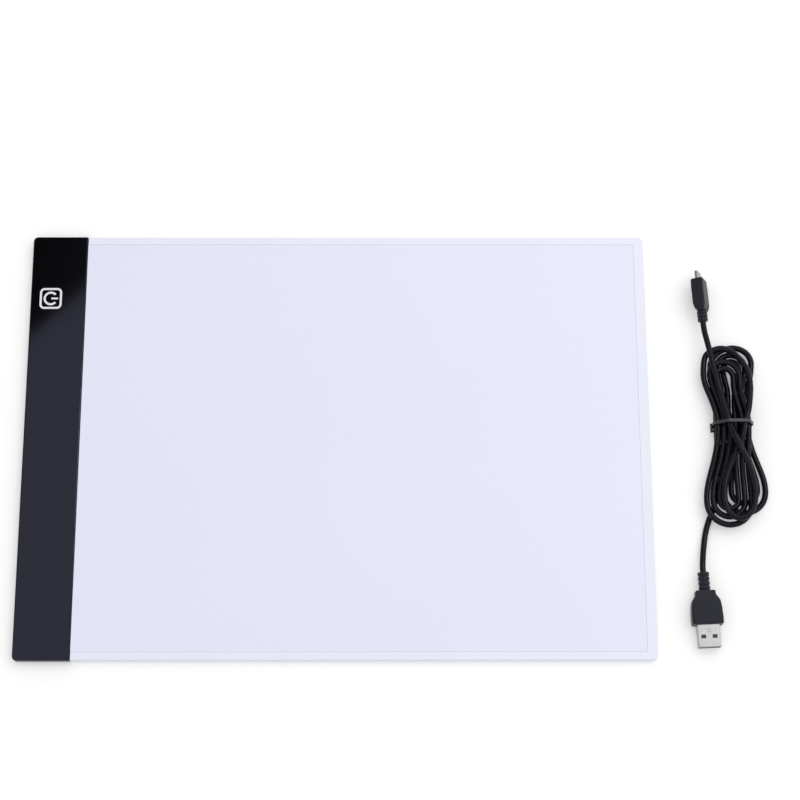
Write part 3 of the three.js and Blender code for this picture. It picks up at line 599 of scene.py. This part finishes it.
small_tip_length = 4.4 * mm
small_tip_wall, small_tip_back = 0.22 * mm, 0.2 * mm
small_tip = drawn_out(
    "small_plug_tip", width=6.85 * mm, depth=1.85 * mm, corner=0.4 * mm, corner_steps=3,
    stations=[
        (0.0, 1, 1), (small_tip_length - 0.3 * mm, 1, 1), (small_tip_length, 0.985, 0.95),
    ],
)
hollow_out(small_tip, small_tip_length, small_tip_wall, small_tip_length - small_tip_back)
latch_size = (0.8 * mm, 0.8 * mm, 1.3 * mm)
latch_x, latch_y, latch_z = 1.75 * mm, 0.9 * mm, 2.6 * mm
for side in (-1, 1):
    cut(small_tip, block("latch", latch_size, (side * latch_x, latch_y, latch_z)))
soften(small_tip, 0.05 * mm, segments=2)
small_tip_start = small_body_start + small_grip_length + plug_gap
settle(small_tip, small_plug_model @ Matrix.Translation((0, 0, small_tip_start)))
dress(small_tip, plate, "plated_steel", "usb_lead", "micro_plug_shell")

insulator = moulded(
    "black_insulator", dark=(0.012, 0.012, 0.013), light=(0.022, 0.022, 0.024),
    roughness=0.45, patch=300, grain=2500, depth=0.01 * mm,
)


def refinish(finish, *nodes):
    """CAD nodes whose shapes are right keep them and get their finish."""
    for name in nodes:
        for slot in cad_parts[name].material_slots:
            slot.material = finish.material


refinish(insulator, "micro_plug_tongue", "usb_a_plug_tongue", "usb_socket_tongue")

# The large plug's moulding
# The same soft vinyl: a collar, then shoulders that widen to a flat grip, with a longer ribbed
# strain relief behind it.
large_relief_length = 9.8 * mm
large_body_start = large_relief_length + plug_gap
large_relief = ribbed_relief(
    "large_plug_relief", diameter=6.1 * mm, neck=5.1 * mm, tip=5.2 * mm,
    length=large_relief_length, ribs=4,
)
settle(large_relief, large_plug_model)
dress(large_relief, plug_vinyl, "plug_moulding", "usb_lead", "usb_a_strain_relief")

large_grip_length = 17.9 * mm
large_grip_stations = [
    (0.0, 0.59, 0.8), (0.35 * mm, 0.645, 0.85), (2.1 * mm, 0.65, 0.855), (2.7 * mm, 0.685, 0.9),
    (4.9 * mm, 0.865, 1.0), (5.6 * mm, 0.905, 1.0), (8.5 * mm, 0.963, 1.0), (13.0 * mm, 1.0, 1.0),
    (16.9 * mm, 1.0, 1.0), (17.6 * mm, 0.98, 0.96), (large_grip_length, 0.935, 0.88),
]
large_grip = drawn_out(
    "large_plug_grip", width=16.5 * mm, depth=8 * mm, corner=1.4 * mm, corner_steps=5,
    stations=large_grip_stations,
)
soften(large_grip, 0.3 * mm)
settle(large_grip, large_plug_model @ Matrix.Translation((0, 0, large_body_start)))
dress(large_grip, plug_vinyl, "plug_moulding", "usb_lead", "usb_a_plug_body")

# The large plug's tip
# A folded plated steel shell with two square windows in each wide wall and a round lock mark,
# over a black insulator that carries four gilt contacts.
large_tip_length, large_tip_depth = 11.8 * mm, 4.5 * mm
large_tip_wall, large_tip_back = 0.28 * mm, 0.3 * mm
large_tip = drawn_out(
    "large_plug_tip", width=12 * mm, depth=large_tip_depth, corner=0.5 * mm, corner_steps=4,
    stations=[
        (0.0, 1, 1), (large_tip_length - 0.35 * mm, 1, 1), (large_tip_length, 0.985, 0.965),
    ],
)
hollow_out(large_tip, large_tip_length, large_tip_wall, large_tip_length - large_tip_back)
window_size = (2.5 * mm, 6 * mm, 1.9 * mm)
window_x, window_z = 2.95 * mm, large_tip_length - 5.5 * mm
for side in (-1, 1):
    cut(large_tip, block("window", window_size, (side * window_x, 0, window_z)))
lock_mark_radius, lock_mark_depth, lock_mark_z = 0.95 * mm, 0.12 * mm, 3.1 * mm
bpy.ops.object.select_all(action="DESELECT")
bpy.ops.mesh.primitive_torus_add(
    major_radius=lock_mark_radius, minor_radius=lock_mark_depth, major_segments=40, minor_segments=8,
    location=(0, large_tip_depth / 2, lock_mark_z), rotation=(math.pi / 2, 0, 0),
)
bpy.ops.object.transform_apply(location=True, rotation=True, scale=True)
cut(large_tip, bpy.context.active_object)
soften(large_tip, 0.06 * mm, segments=2, angle=50)
large_tip_start = large_body_start + large_grip_length + plug_gap
settle(large_tip, large_plug_model @ Matrix.Translation((0, 0, large_tip_start)))
dress(large_tip, plate, "plated_steel", "usb_lead", "usb_a_plug_shell")

gilt = Finish("gold_contact", (0.80, 0.62, 0.28), 0.25, metallic=1.0)
gilt_marks = gilt.noise(1200, stretch=(1, 0.1, 1))
gilt.tint(gilt_marks, (0.72, 0.54, 0.24), (0.86, 0.68, 0.34))
gilt.polish(gilt_marks, 0.2, 0.4)
refinish(gilt, "usb_a_contact_1", "usb_a_contact_2", "usb_a_contact_3", "usb_a_contact_4")

# The hank's tie
# A flat black band drawn tight round the waist of the hank, its end twisted into a short tail.
tie_gap = 0.35 * mm
tie_thickness = 0.6 * mm
tie_width = 1.8 * mm
crossing_left, crossing_right, crossing_height = -2.7 * mm, 6.2 * mm, 10.45 * mm
waist_heights = [hank_point(0, 0, level).z for level in (0, 1)]
tie_left = -(first_turn_share + loops_per_layer - 0.5) * waist_pitch
tie_right = (first_turn_share + loops_per_layer - 1) * waist_pitch

# The middles of the outermost strands that the band goes round: those of the two layers, and above
# them those of the last loop, which crosses over the waist
tie_corners = [
    (tie_left + waist_shifts[0], waist_heights[0]),
    (tie_right + waist_shifts[0], waist_heights[0]),
    (tie_right + waist_shifts[1], waist_heights[1]),
    (crossing_right, crossing_height),
    (crossing_left, crossing_height),
    (tie_left + waist_shifts[1], waist_heights[1]),
]


def belt(corners, distance, steps):
    """A closed line at one distance outside all the corners of a convex outline."""
    line = []
    for i, (x, z) in enumerate(corners):
        last_x, last_z = corners[i - 1]
        next_x, next_z = corners[(i + 1) % len(corners)]
        start = math.atan2(z - last_z, x - last_x) - math.pi / 2
        turn = (math.atan2(next_z - z, next_x - x) - math.pi / 2 - start) % (2 * math.pi)
        for k in range(steps + 1):
            angle = start + turn * k / steps
            line.append((x + distance * math.cos(angle), z + distance * math.sin(angle)))
    return line


tie_line = belt(tie_corners, cord_diameter / 2 + tie_gap + tie_thickness, steps=8)
bpy.ops.object.select_all(action="DESELECT")
bpy.ops.mesh.primitive_circle_add(vertices=len(tie_line))
hank_tie = bpy.context.active_object
hank_tie.name = "hank_band"
for vertex, (x, z) in zip(hank_tie.data.vertices, tie_line):
    vertex.co = (hank_x + x, hank_y - tie_width / 2, z)
bpy.ops.object.mode_set(mode="EDIT")
bpy.ops.mesh.select_mode(type="VERT")
bpy.ops.mesh.select_all(action="SELECT")
bpy.ops.mesh.extrude_region_move(TRANSFORM_OT_translate={"value": (0, tie_width, 0)})
bpy.ops.mesh.select_all(action="SELECT")
bpy.ops.mesh.normals_make_consistent(inside=False)
bpy.ops.object.mode_set(mode="OBJECT")
band_wall = hank_tie.modifiers.new("wall", "SOLIDIFY")
band_wall.thickness = tie_thickness
band_wall.offset = -1
bpy.ops.object.modifier_apply(modifier=band_wall.name)
soften(hank_tie, 0.15 * mm, angle=50)

tail_length, tail_thickness = 4.8 * mm, 0.95 * mm
tail_twist, tail_heading = math.radians(400), math.radians(92)
tail = block("tie_tail", (tail_length, tie_width, tail_thickness), (-tail_length / 2, 0, 0))
edit_whole(tail)
bpy.ops.mesh.subdivide(number_cuts=9)
bpy.ops.object.mode_set(mode="OBJECT")
twist = tail.modifiers.new("twist", "SIMPLE_DEFORM")
twist.deform_method = "TWIST"
twist.deform_axis = "X"
twist.angle = tail_twist
bpy.ops.object.modifier_apply(modifier=twist.name)
soften(tail, 0.12 * mm, segments=2, angle=50)
tail_x = hank_x + tie_left + waist_shifts[0] - cord_diameter / 2 - tie_gap - tie_thickness
tail_place = Matrix.Translation((tail_x, hank_y + tie_width / 2, waist_heights[0]))
settle(tail, tail_place @ Matrix.Rotation(tail_heading, 4, "Z"))
bpy.ops.object.select_all(action="DESELECT")
tail.select_set(True)
hank_tie.select_set(True)
bpy.context.view_layer.objects.active = hank_tie
bpy.ops.object.join()

tie_plastic = moulded(
    "tie_plastic", dark=(0.014, 0.014, 0.017), light=(0.022, 0.022, 0.027),
    roughness=0.38, patch=250, grain=2000, depth=0.02 * mm,
)
dress(hank_tie, tie_plastic, "tie_plastic", "usb_lead", "hank_tie")

# The pad's housing
# One shallow tray moulded in cool white plastic with a fine matt grain, its rims level with the
# panel that they frame.
housing_plastic = moulded(
    "white_housing", dark=(0.83, 0.855, 0.965), light=(0.85, 0.875, 0.985),
    roughness=0.42, patch=14, grain=1400, depth=0.03 * mm, specular=0.4,
)
refinish(housing_plastic, "back_cover")

# The panel
# A sheet of opal white acrylic with a satin face and eased edges, taped down flush in the
# housing, whose rims it meets with a hairline seam.


def bevel_edges(piece, wanted, width, segments):
    """Rounds the wanted edges, which are told by their middles and directions."""
    work_on(piece)
    bpy.ops.object.mode_set(mode="EDIT")
    bpy.ops.mesh.select_mode(type="EDGE")
    bpy.ops.mesh.select_all(action="DESELECT")
    mesh = bmesh.from_edit_mesh(piece.data)
    for edge in mesh.edges:
        first, second = (vertex.co for vertex in edge.verts)
        edge.select_set(bool(wanted((first + second) / 2, (second - first).normalized())))
    bmesh.update_edit_mesh(piece.data)
    bpy.ops.mesh.bevel(offset=width, segments=segments, affect="EDGES")
    bpy.ops.object.mode_set(mode="OBJECT")


panel_low, panel_high = (Vector(corner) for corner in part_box("top_panel"))
panel_fit = 0.14 * mm
panel_low.y -= panel_fit
panel_high += Vector((panel_fit, panel_fit, 0))
panel = block("opal_sheet", panel_high - panel_low, (panel_low + panel_high) / 2)
bevel_edges(
    panel,
    lambda middle, way: abs(way.z) < along_axis and middle.z > panel_high.z - pick_margin,
    width=0.12 * mm, segments=3,
)
even_out(panel)

opal = Finish("opal_panel", (0.815, 0.825, 0.985), 0.34, specular=0.4)
opal_drift = opal.noise(9)
opal_satin = opal.noise(2400, detail=4)
opal.tint(opal_drift, (0.805, 0.815, 0.975), (0.825, 0.835, 0.99))
opal.polish(opal_satin, 0.3, 0.4)
opal.bump(opal_satin, 0.01 * mm)
dress(panel, opal, "opal_panel", "pad", "top_panel")

# The sheets under the panel
# A white diffusing film, the clear acrylic light guide with white dots printed on its underside,
# growing away from the lights, and a white reflecting film.
optical_film = moulded(
    "white_film", dark=(0.9, 0.9, 0.92), light=(0.94, 0.94, 0.95),
    roughness=0.55, patch=20, grain=1800, depth=0.01 * mm,
)
refinish(optical_film, "diffuser_sheet", "reflector_sheet")

guide_left, guide_length, guide_underside = -138.5 * mm, 300 * mm, 1.75 * mm
guide_acrylic = Finish("clear_acrylic", (0.86, 0.92, 0.95), 0.08)
guide_x, guide_y, guide_z = guide_acrylic.axes()
dot_pitch = 2.5 * mm

# The square of a dot's radius at the lights, and what it gains over the guide's length
dot_square, dot_square_gain = 0.1 * mm * mm, 0.6 * mm * mm
across = guide_x.zigzag(dot_pitch / 2)
along = guide_y.zigzag(dot_pitch / 2)
distance = (guide_x - guide_left) / guide_length
round_dot = (across * across + along * along) < (dot_square + dot_square_gain * distance)
dots = round_dot * (guide_z < guide_underside)
guide_acrylic.tint(dots, (0.80, 0.87, 0.90), (0.96, 0.97, 0.98))
guide_acrylic.polish(dots, 0.08, 0.48)
refinish(guide_acrylic, "light_guide")

# The tapes
# Thin double-sided tapes with a crossed weave of fibres, and the black film over the lights.
tape = Finish("pale_tape", (0.78, 0.75, 0.66), 0.75)
tape_x, tape_y, _ = tape.axes()
thread = 0.4 * mm
weave = tape_x.zigzag(thread) * tape_y.zigzag(thread) / (thread * thread)
tape.tint(weave, (0.70, 0.67, 0.58), (0.84, 0.81, 0.72))
tape.bump(weave, 0.03 * mm)
refinish(tape, "panel_tape", "strip_tape", "bar_tape", "board_tape")
masking_film = moulded(
    "black_tape", dark=(0.02, 0.02, 0.02), light=(0.035, 0.035, 0.035),
    roughness=0.6, patch=60, grain=1500, depth=0.01 * mm,
)
refinish(masking_film, "light_shield")

# The lights
# A narrow white board on its edge with a row of white packages, each with a yellow phosphor
# face towards the light guide.
led_pitch = 4 * mm
led_face = -138.7 * mm
led_middle = 2.6 * mm
phosphor_half_length, phosphor_half_height, phosphor_depth = 1.1 * mm, 0.45 * mm, 0.05 * mm
led_board = Finish("led_board", (0.88, 0.88, 0.86), 0.45)
led_x, led_y, led_z = led_board.axes()
phosphor = (
    (led_y.zigzag(led_pitch / 2) < phosphor_half_length)
    * (abs(led_z - led_middle) < phosphor_half_height)
    * (led_x > led_face - phosphor_depth)
)
led_board.tint(phosphor, (0.88, 0.88, 0.86), (0.85, 0.72, 0.18))
led_board.polish(led_board.noise(1500), 0.4, 0.55)
refinish(led_board, "led_bar")

# The control board
# Green glass-fibre board with tracks under its solder mask, and the chips, capacitor and
# resistors that are soldered to it.
board = Finish("green_board", (0.04, 0.22, 0.11), 0.4)
board_x, board_y, _ = board.axes()
track_slant, track_half_pitch, track_half_width, bare_share = 0.35, 0.9 * mm, 0.22 * mm, 0.48
track_lines = (board_x + board_y * track_slant).zigzag(track_half_pitch) < track_half_width
tracks = track_lines * (board.noise(160) > bare_share)
board.tint(tracks, (0.03, 0.19, 0.09), (0.07, 0.34, 0.16))
board.bump(tracks, 0.02 * mm)
board.polish(board.noise(900), 0.36, 0.48)
refinish(board, "control_board")
chip_black = moulded(
    "chip_black", dark=(0.016, 0.016, 0.018), light=(0.026, 0.026, 0.029),
    roughness=0.55, patch=500, grain=4000, depth=0.01 * mm,
)
refinish(chip_black, "touch_chip", "driver_chip", "resistor_1", "resistor_2")

capacitor = Finish("tan_ceramic", (0.5, 0.35, 0.2), 0.4)
_, capacitor_y, _ = capacitor.axes()
capacitor_middle, bare_half_length = 95 * mm, 1.1 * mm
tinned = abs(capacitor_y - capacitor_middle) > bare_half_length
capacitor.tint(tinned, (0.5, 0.35, 0.2), (0.7, 0.7, 0.69))
capacitor.feed("Metallic", tinned)
capacitor.polish(capacitor.noise(2000), 0.35, 0.5)
refinish(capacitor, "capacitor")

# The touch switch and its wires
# A copper foil disc under the strip, a block of conductive foam that joins it to the board, and
# the red and black wires to the lights.
copper = Finish("copper_foil", (0.76, 0.43, 0.26), 0.32, metallic=1.0)
copper_tarnish = copper.noise(500)
copper.tint(copper_tarnish, (0.62, 0.33, 0.2), (0.82, 0.49, 0.31))
copper.polish(copper_tarnish, 0.26, 0.46)
refinish(copper, "touch_electrode")
foam = moulded(
    "grey_foam", dark=(0.12, 0.12, 0.13), light=(0.24, 0.24, 0.26),
    roughness=0.85, patch=1200, grain=2500, depth=0.12 * mm,
)
refinish(foam, "touch_contact")
red_wire = moulded(
    "red_wire", dark=(0.45, 0.02, 0.02), light=(0.6, 0.035, 0.03),
    roughness=0.45, patch=300, grain=2500, depth=0.01 * mm,
)
refinish(red_wire, "led_wire_positive")
black_wire = moulded(
    "black_wire", dark=(0.012, 0.012, 0.012), light=(0.022, 0.022, 0.022),
    roughness=0.45, patch=300, grain=2500, depth=0.01 * mm,
)
refinish(black_wire, "led_wire_negative")

# The power socket
# A folded plated steel shell soldered into the control board's edge, behind a mouth in the strip.
refinish(plate, "usb_socket_shell")

# The control strip
# A glossy black moulding that covers the board and the lights along the pad's left side, with
# rounded edges and a mouth for the socket in its left wall.
pad_left, strip_right = -167.5 * mm, -137.5 * mm
pad_half_width = 117.5 * mm
strip_bottom, pad_top = 0.8 * mm, 5 * mm
strip_wall, strip_under = 1.2 * mm, 4 * mm
outer_corner, inner_corner, top_edge = 2.5 * mm, 0.5 * mm, 0.7 * mm
strip_middle = (pad_left + strip_right) / 2
strip_height = pad_top - strip_bottom
strip = block(
    "control_strip",
    (strip_right - pad_left, 2 * pad_half_width, strip_height),
    (strip_middle, 0, strip_bottom + strip_height / 2),
)
bevel_edges(
    strip, lambda middle, way: abs(way.z) > along_axis and middle.x < strip_middle,
    width=outer_corner, segments=10,
)
bevel_edges(
    strip, lambda middle, way: abs(way.z) > along_axis and middle.x > strip_right - pick_margin,
    width=inner_corner, segments=4,
)
bevel_edges(
    strip, lambda middle, way: abs(way.z) < along_axis and middle.z > pad_top - pick_margin,
    width=top_edge, segments=5,
)

# The cavity is open below and on the right, where its cutter reaches past the strip's edge
cavity_left, cavity_right = pad_left + strip_wall, strip_right + 1 * mm
cavity = block(
    "cavity",
    (cavity_right - cavity_left, 2 * (pad_half_width - strip_wall), strip_under),
    ((cavity_left + cavity_right) / 2, 0, strip_under / 2),
)
cut(strip, cavity)
socket_y, socket_z = 101 * mm, 2.7 * mm
mouth_size, mouth_corner = (4 * mm, 8.1 * mm, 3 * mm), 0.7 * mm
mouth = block("mouth", mouth_size, (pad_left, socket_y, socket_z))
bevel_edges(mouth, lambda middle, way: abs(way.x) > along_axis, width=mouth_corner, segments=5)
cut(strip, mouth)
even_out(strip, angle=35)

piano_black = Finish("black_strip", (0.003, 0.0029, 0.0036), 0.1, specular=0.46)
# Painted reflection colour: this bluish tint on the strip's reflections stands in for bluish light
# round the pad, since gloss black plastic reflects without a tint.
piano_black.shader.inputs["Specular Tint"].default_value = (0.66, 0.69, 1, 1)
strip_haze = piano_black.noise(30)
strip_waves = piano_black.noise(400, detail=2)
piano_black.tint(strip_haze, (0.0027, 0.0026, 0.0032), (0.0034, 0.0033, 0.0041))
piano_black.polish(strip_haze, 0.05, 0.09)
piano_black.bump(strip_waves, 0.002 * mm)
dress(strip, piano_black, "black_strip", "pad", "strip_cover")

# The touch mark
# Screen-printed in white on the strip: a rounded square round a power symbol, which faces the
# right-hand side of the pad.
mark_x, mark_y = -156.5 * mm, 81.5 * mm
print_thickness = 0.02 * mm
stroke = 1.15 * mm


def printed(piece, name):
    """Gives a flat printed shape the ink's thickness and its place on the strip."""
    piece.name = name
    edit_whole(piece)
    bpy.ops.mesh.extrude_region_move(TRANSFORM_OT_translate={"value": (0, 0, print_thickness)})
    bpy.ops.mesh.select_all(action="SELECT")
    bpy.ops.mesh.normals_make_consistent(inside=False)
    bpy.ops.object.mode_set(mode="OBJECT")
    settle(piece, Matrix.Translation((mark_x, mark_y, pad_top)))


frame_size, frame_corner = 12.05 * mm, 2.6 * mm
mark_frame = flat_shape(frame_size, frame_size, frame_corner, corner_steps=8)
edit_whole(mark_frame)
bpy.ops.mesh.inset(thickness=stroke)
bpy.ops.mesh.delete(type="FACE")
bpy.ops.object.mode_set(mode="OBJECT")
printed(mark_frame, "mark_frame")

ring_radius = 3.36 * mm
gap_half_angle = math.radians(41)
bpy.ops.object.select_all(action="DESELECT")
bpy.ops.mesh.primitive_plane_add(size=1)
mark_ring = bpy.context.active_object
edit_whole(mark_ring)
bpy.ops.mesh.delete(type="VERT")
ring_mesh = bmesh.from_edit_mesh(mark_ring.data)
start = Vector((math.cos(gap_half_angle), math.sin(gap_half_angle), 0))
ends = [ring_mesh.verts.new(start * (ring_radius + side * stroke / 2)) for side in (-1, 1)]
ring_mesh.edges.new(ends)
bmesh.update_edit_mesh(mark_ring.data)
bpy.ops.mesh.select_all(action="SELECT")
bpy.ops.mesh.spin(
    steps=48, angle=-(2 * math.pi - 2 * gap_half_angle),
    center=(0, 0, 0), axis=(0, 0, 1), use_normal_flip=False,
)
bpy.ops.object.mode_set(mode="OBJECT")
printed(mark_ring, "mark_ring")

bar_start, bar_length, bar_width, bar_corner = 0.25 * mm, 3.7 * mm, 1.05 * mm, 0.2 * mm
mark_bar = flat_shape(bar_length, bar_width, bar_corner, corner_steps=8)
settle(mark_bar, Matrix.Translation((bar_start + bar_length / 2, 0, 0)))
printed(mark_bar, "mark_bar")

ink = moulded(
    "white_ink", dark=(0.80, 0.79, 0.83), light=(0.86, 0.85, 0.9),
    roughness=0.35, patch=400, grain=3000, depth=0.002 * mm,
)
for piece in (mark_frame, mark_ring, mark_bar):
    dress(piece, ink, "black_strip", "pad")

# The feet
# Four soft pale rubber discs with eased rims, stuck under the corners of the housing.
foot_rubber = moulded(
    "foot_rubber", dark=(0.5, 0.51, 0.55), light=(0.6, 0.61, 0.65),
    roughness=0.8, patch=300, grain=1500, depth=0.04 * mm,
)
for name in ("near_left", "near_right", "far_left", "far_right"):
    low, high = (Vector(corner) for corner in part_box(f"foot_{name}"))
    middle = (low + high) / 2
    bpy.ops.object.select_all(action="DESELECT")
    bpy.ops.mesh.primitive_cylinder_add(
        vertices=64, radius=(high.x - low.x) / 2, depth=high.z - low.z, location=middle
    )
    foot = bpy.context.active_object
    foot.name = f"rubber_foot_{name}"
    bpy.ops.object.transform_apply(location=True, rotation=True, scale=True)
    bevel_edges(foot, lambda middle, way: middle.z < pick_margin, width=0.35 * mm, segments=4)
    even_out(foot)
    dress(foot, foot_rubber, "foot_rubber", "pad", f"foot_{name}")

# The floor, the studio and its light
# A white sweep under even white light. One broad soft lamp and a small bright one stand above the
# pad's far right side, and a dark card high over the strip's far half shows in the strip.


def directly_seen(tree):
    """1 for what the camera sees, by itself, in a gloss or through a clear piece, and 0 for the
    light that falls on the object."""
    rays = tree.nodes.new("ShaderNodeLightPath").outputs
    seen = Signal(tree, rays["Is Camera Ray"]).larger(Signal(tree, rays["Is Glossy Ray"]))
    return seen.larger(Signal(tree, rays["Is Transmission Ray"]))


def studio_lamp(place, aim, width, height, energy):
    """A rectangular lamp that stands at its place and faces its aim."""
    bpy.ops.object.light_add(type="AREA", location=place)
    lamp = bpy.context.active_object
    lamp.rotation_euler = (aim - place).to_track_quat("-Z", "Y").to_euler()
    lamp.data.shape = "RECTANGLE"
    lamp.data.size = width
    lamp.data.size_y = height
    lamp.data.energy = energy
    return lamp


floor_size = 6
bpy.ops.object.select_all(action="DESELECT")
bpy.ops.mesh.primitive_plane_add(size=floor_size)
floor = bpy.context.active_object
floor.name = "floor"
paper = Finish("floor_paper", (0.88, 0.88, 0.88), 0.7, specular=0.2)
paper_glow = (0.2, 0.2, 0.2, 1)
paper.shader.inputs["Emission Strength"].default_value = 1.0
paper.feed("Emission Color", paper.mix(directly_seen(paper.tree), (0, 0, 0, 1), paper_glow))
floor.data.materials.append(paper.material)

world = bpy.data.worlds.new("studio")
bpy.context.scene.world = world
world.use_nodes = True
sky = world.node_tree
sky_light = 0.78
sky_strength = sky_light + (1 - sky_light) * directly_seen(sky)
background = sky.nodes["Background"]
background.inputs["Color"].default_value = (1, 1, 1, 1)
sky.links.new(sky_strength.socket, background.inputs["Strength"])

pad_middle = Vector((0.02, 0, 0))
studio_lamp(Vector((0.9, 0.7, 1.5)), pad_middle, width=1.8, height=1.6, energy=5.3)

# The small lamp stands where the cord's upper side mirrors it, and draws thin light lines along it
hank_middle = Vector((hank_x, hank_y, 0))
line_lamp = studio_lamp(Vector((0.86, 0.53, 1.65)), hank_middle, width=0.3, height=0.3, energy=3.2)
line_lamp.data.use_shadow = False

# The card's slanting near edge crosses the reflection that the camera sees in the strip
card_height = 605 * mm
card_right, card_left, card_far = -220 * mm, -900 * mm, 900 * mm
card_near_right, card_near_left = 317 * mm, -322 * mm
card_corners = [
    (card_right, card_near_right), (card_right, card_far),
    (card_left, card_far), (card_left, card_near_left),
]
bpy.ops.object.select_all(action="DESELECT")
bpy.ops.mesh.primitive_plane_add(size=1)
dark_card = bpy.context.active_object
dark_card.name = "dark_card"
bpy.ops.object.mode_set(mode="EDIT")
card_mesh = bmesh.from_edit_mesh(dark_card.data)
for vertex, corner in zip(card_mesh.faces[:][0].verts, card_corners):
    vertex.co = (*corner, card_height)
bmesh.update_edit_mesh(dark_card.data)
bpy.ops.object.mode_set(mode="OBJECT")
for sort in ("camera", "diffuse", "transmission", "volume_scatter", "shadow"):
    setattr(dark_card, f"visible_{sort}", False)
card_black = Finish("card_black", (0.002, 0.002, 0.002), 0.9, specular=0.0)
dark_card.data.materials.append(card_black.material)
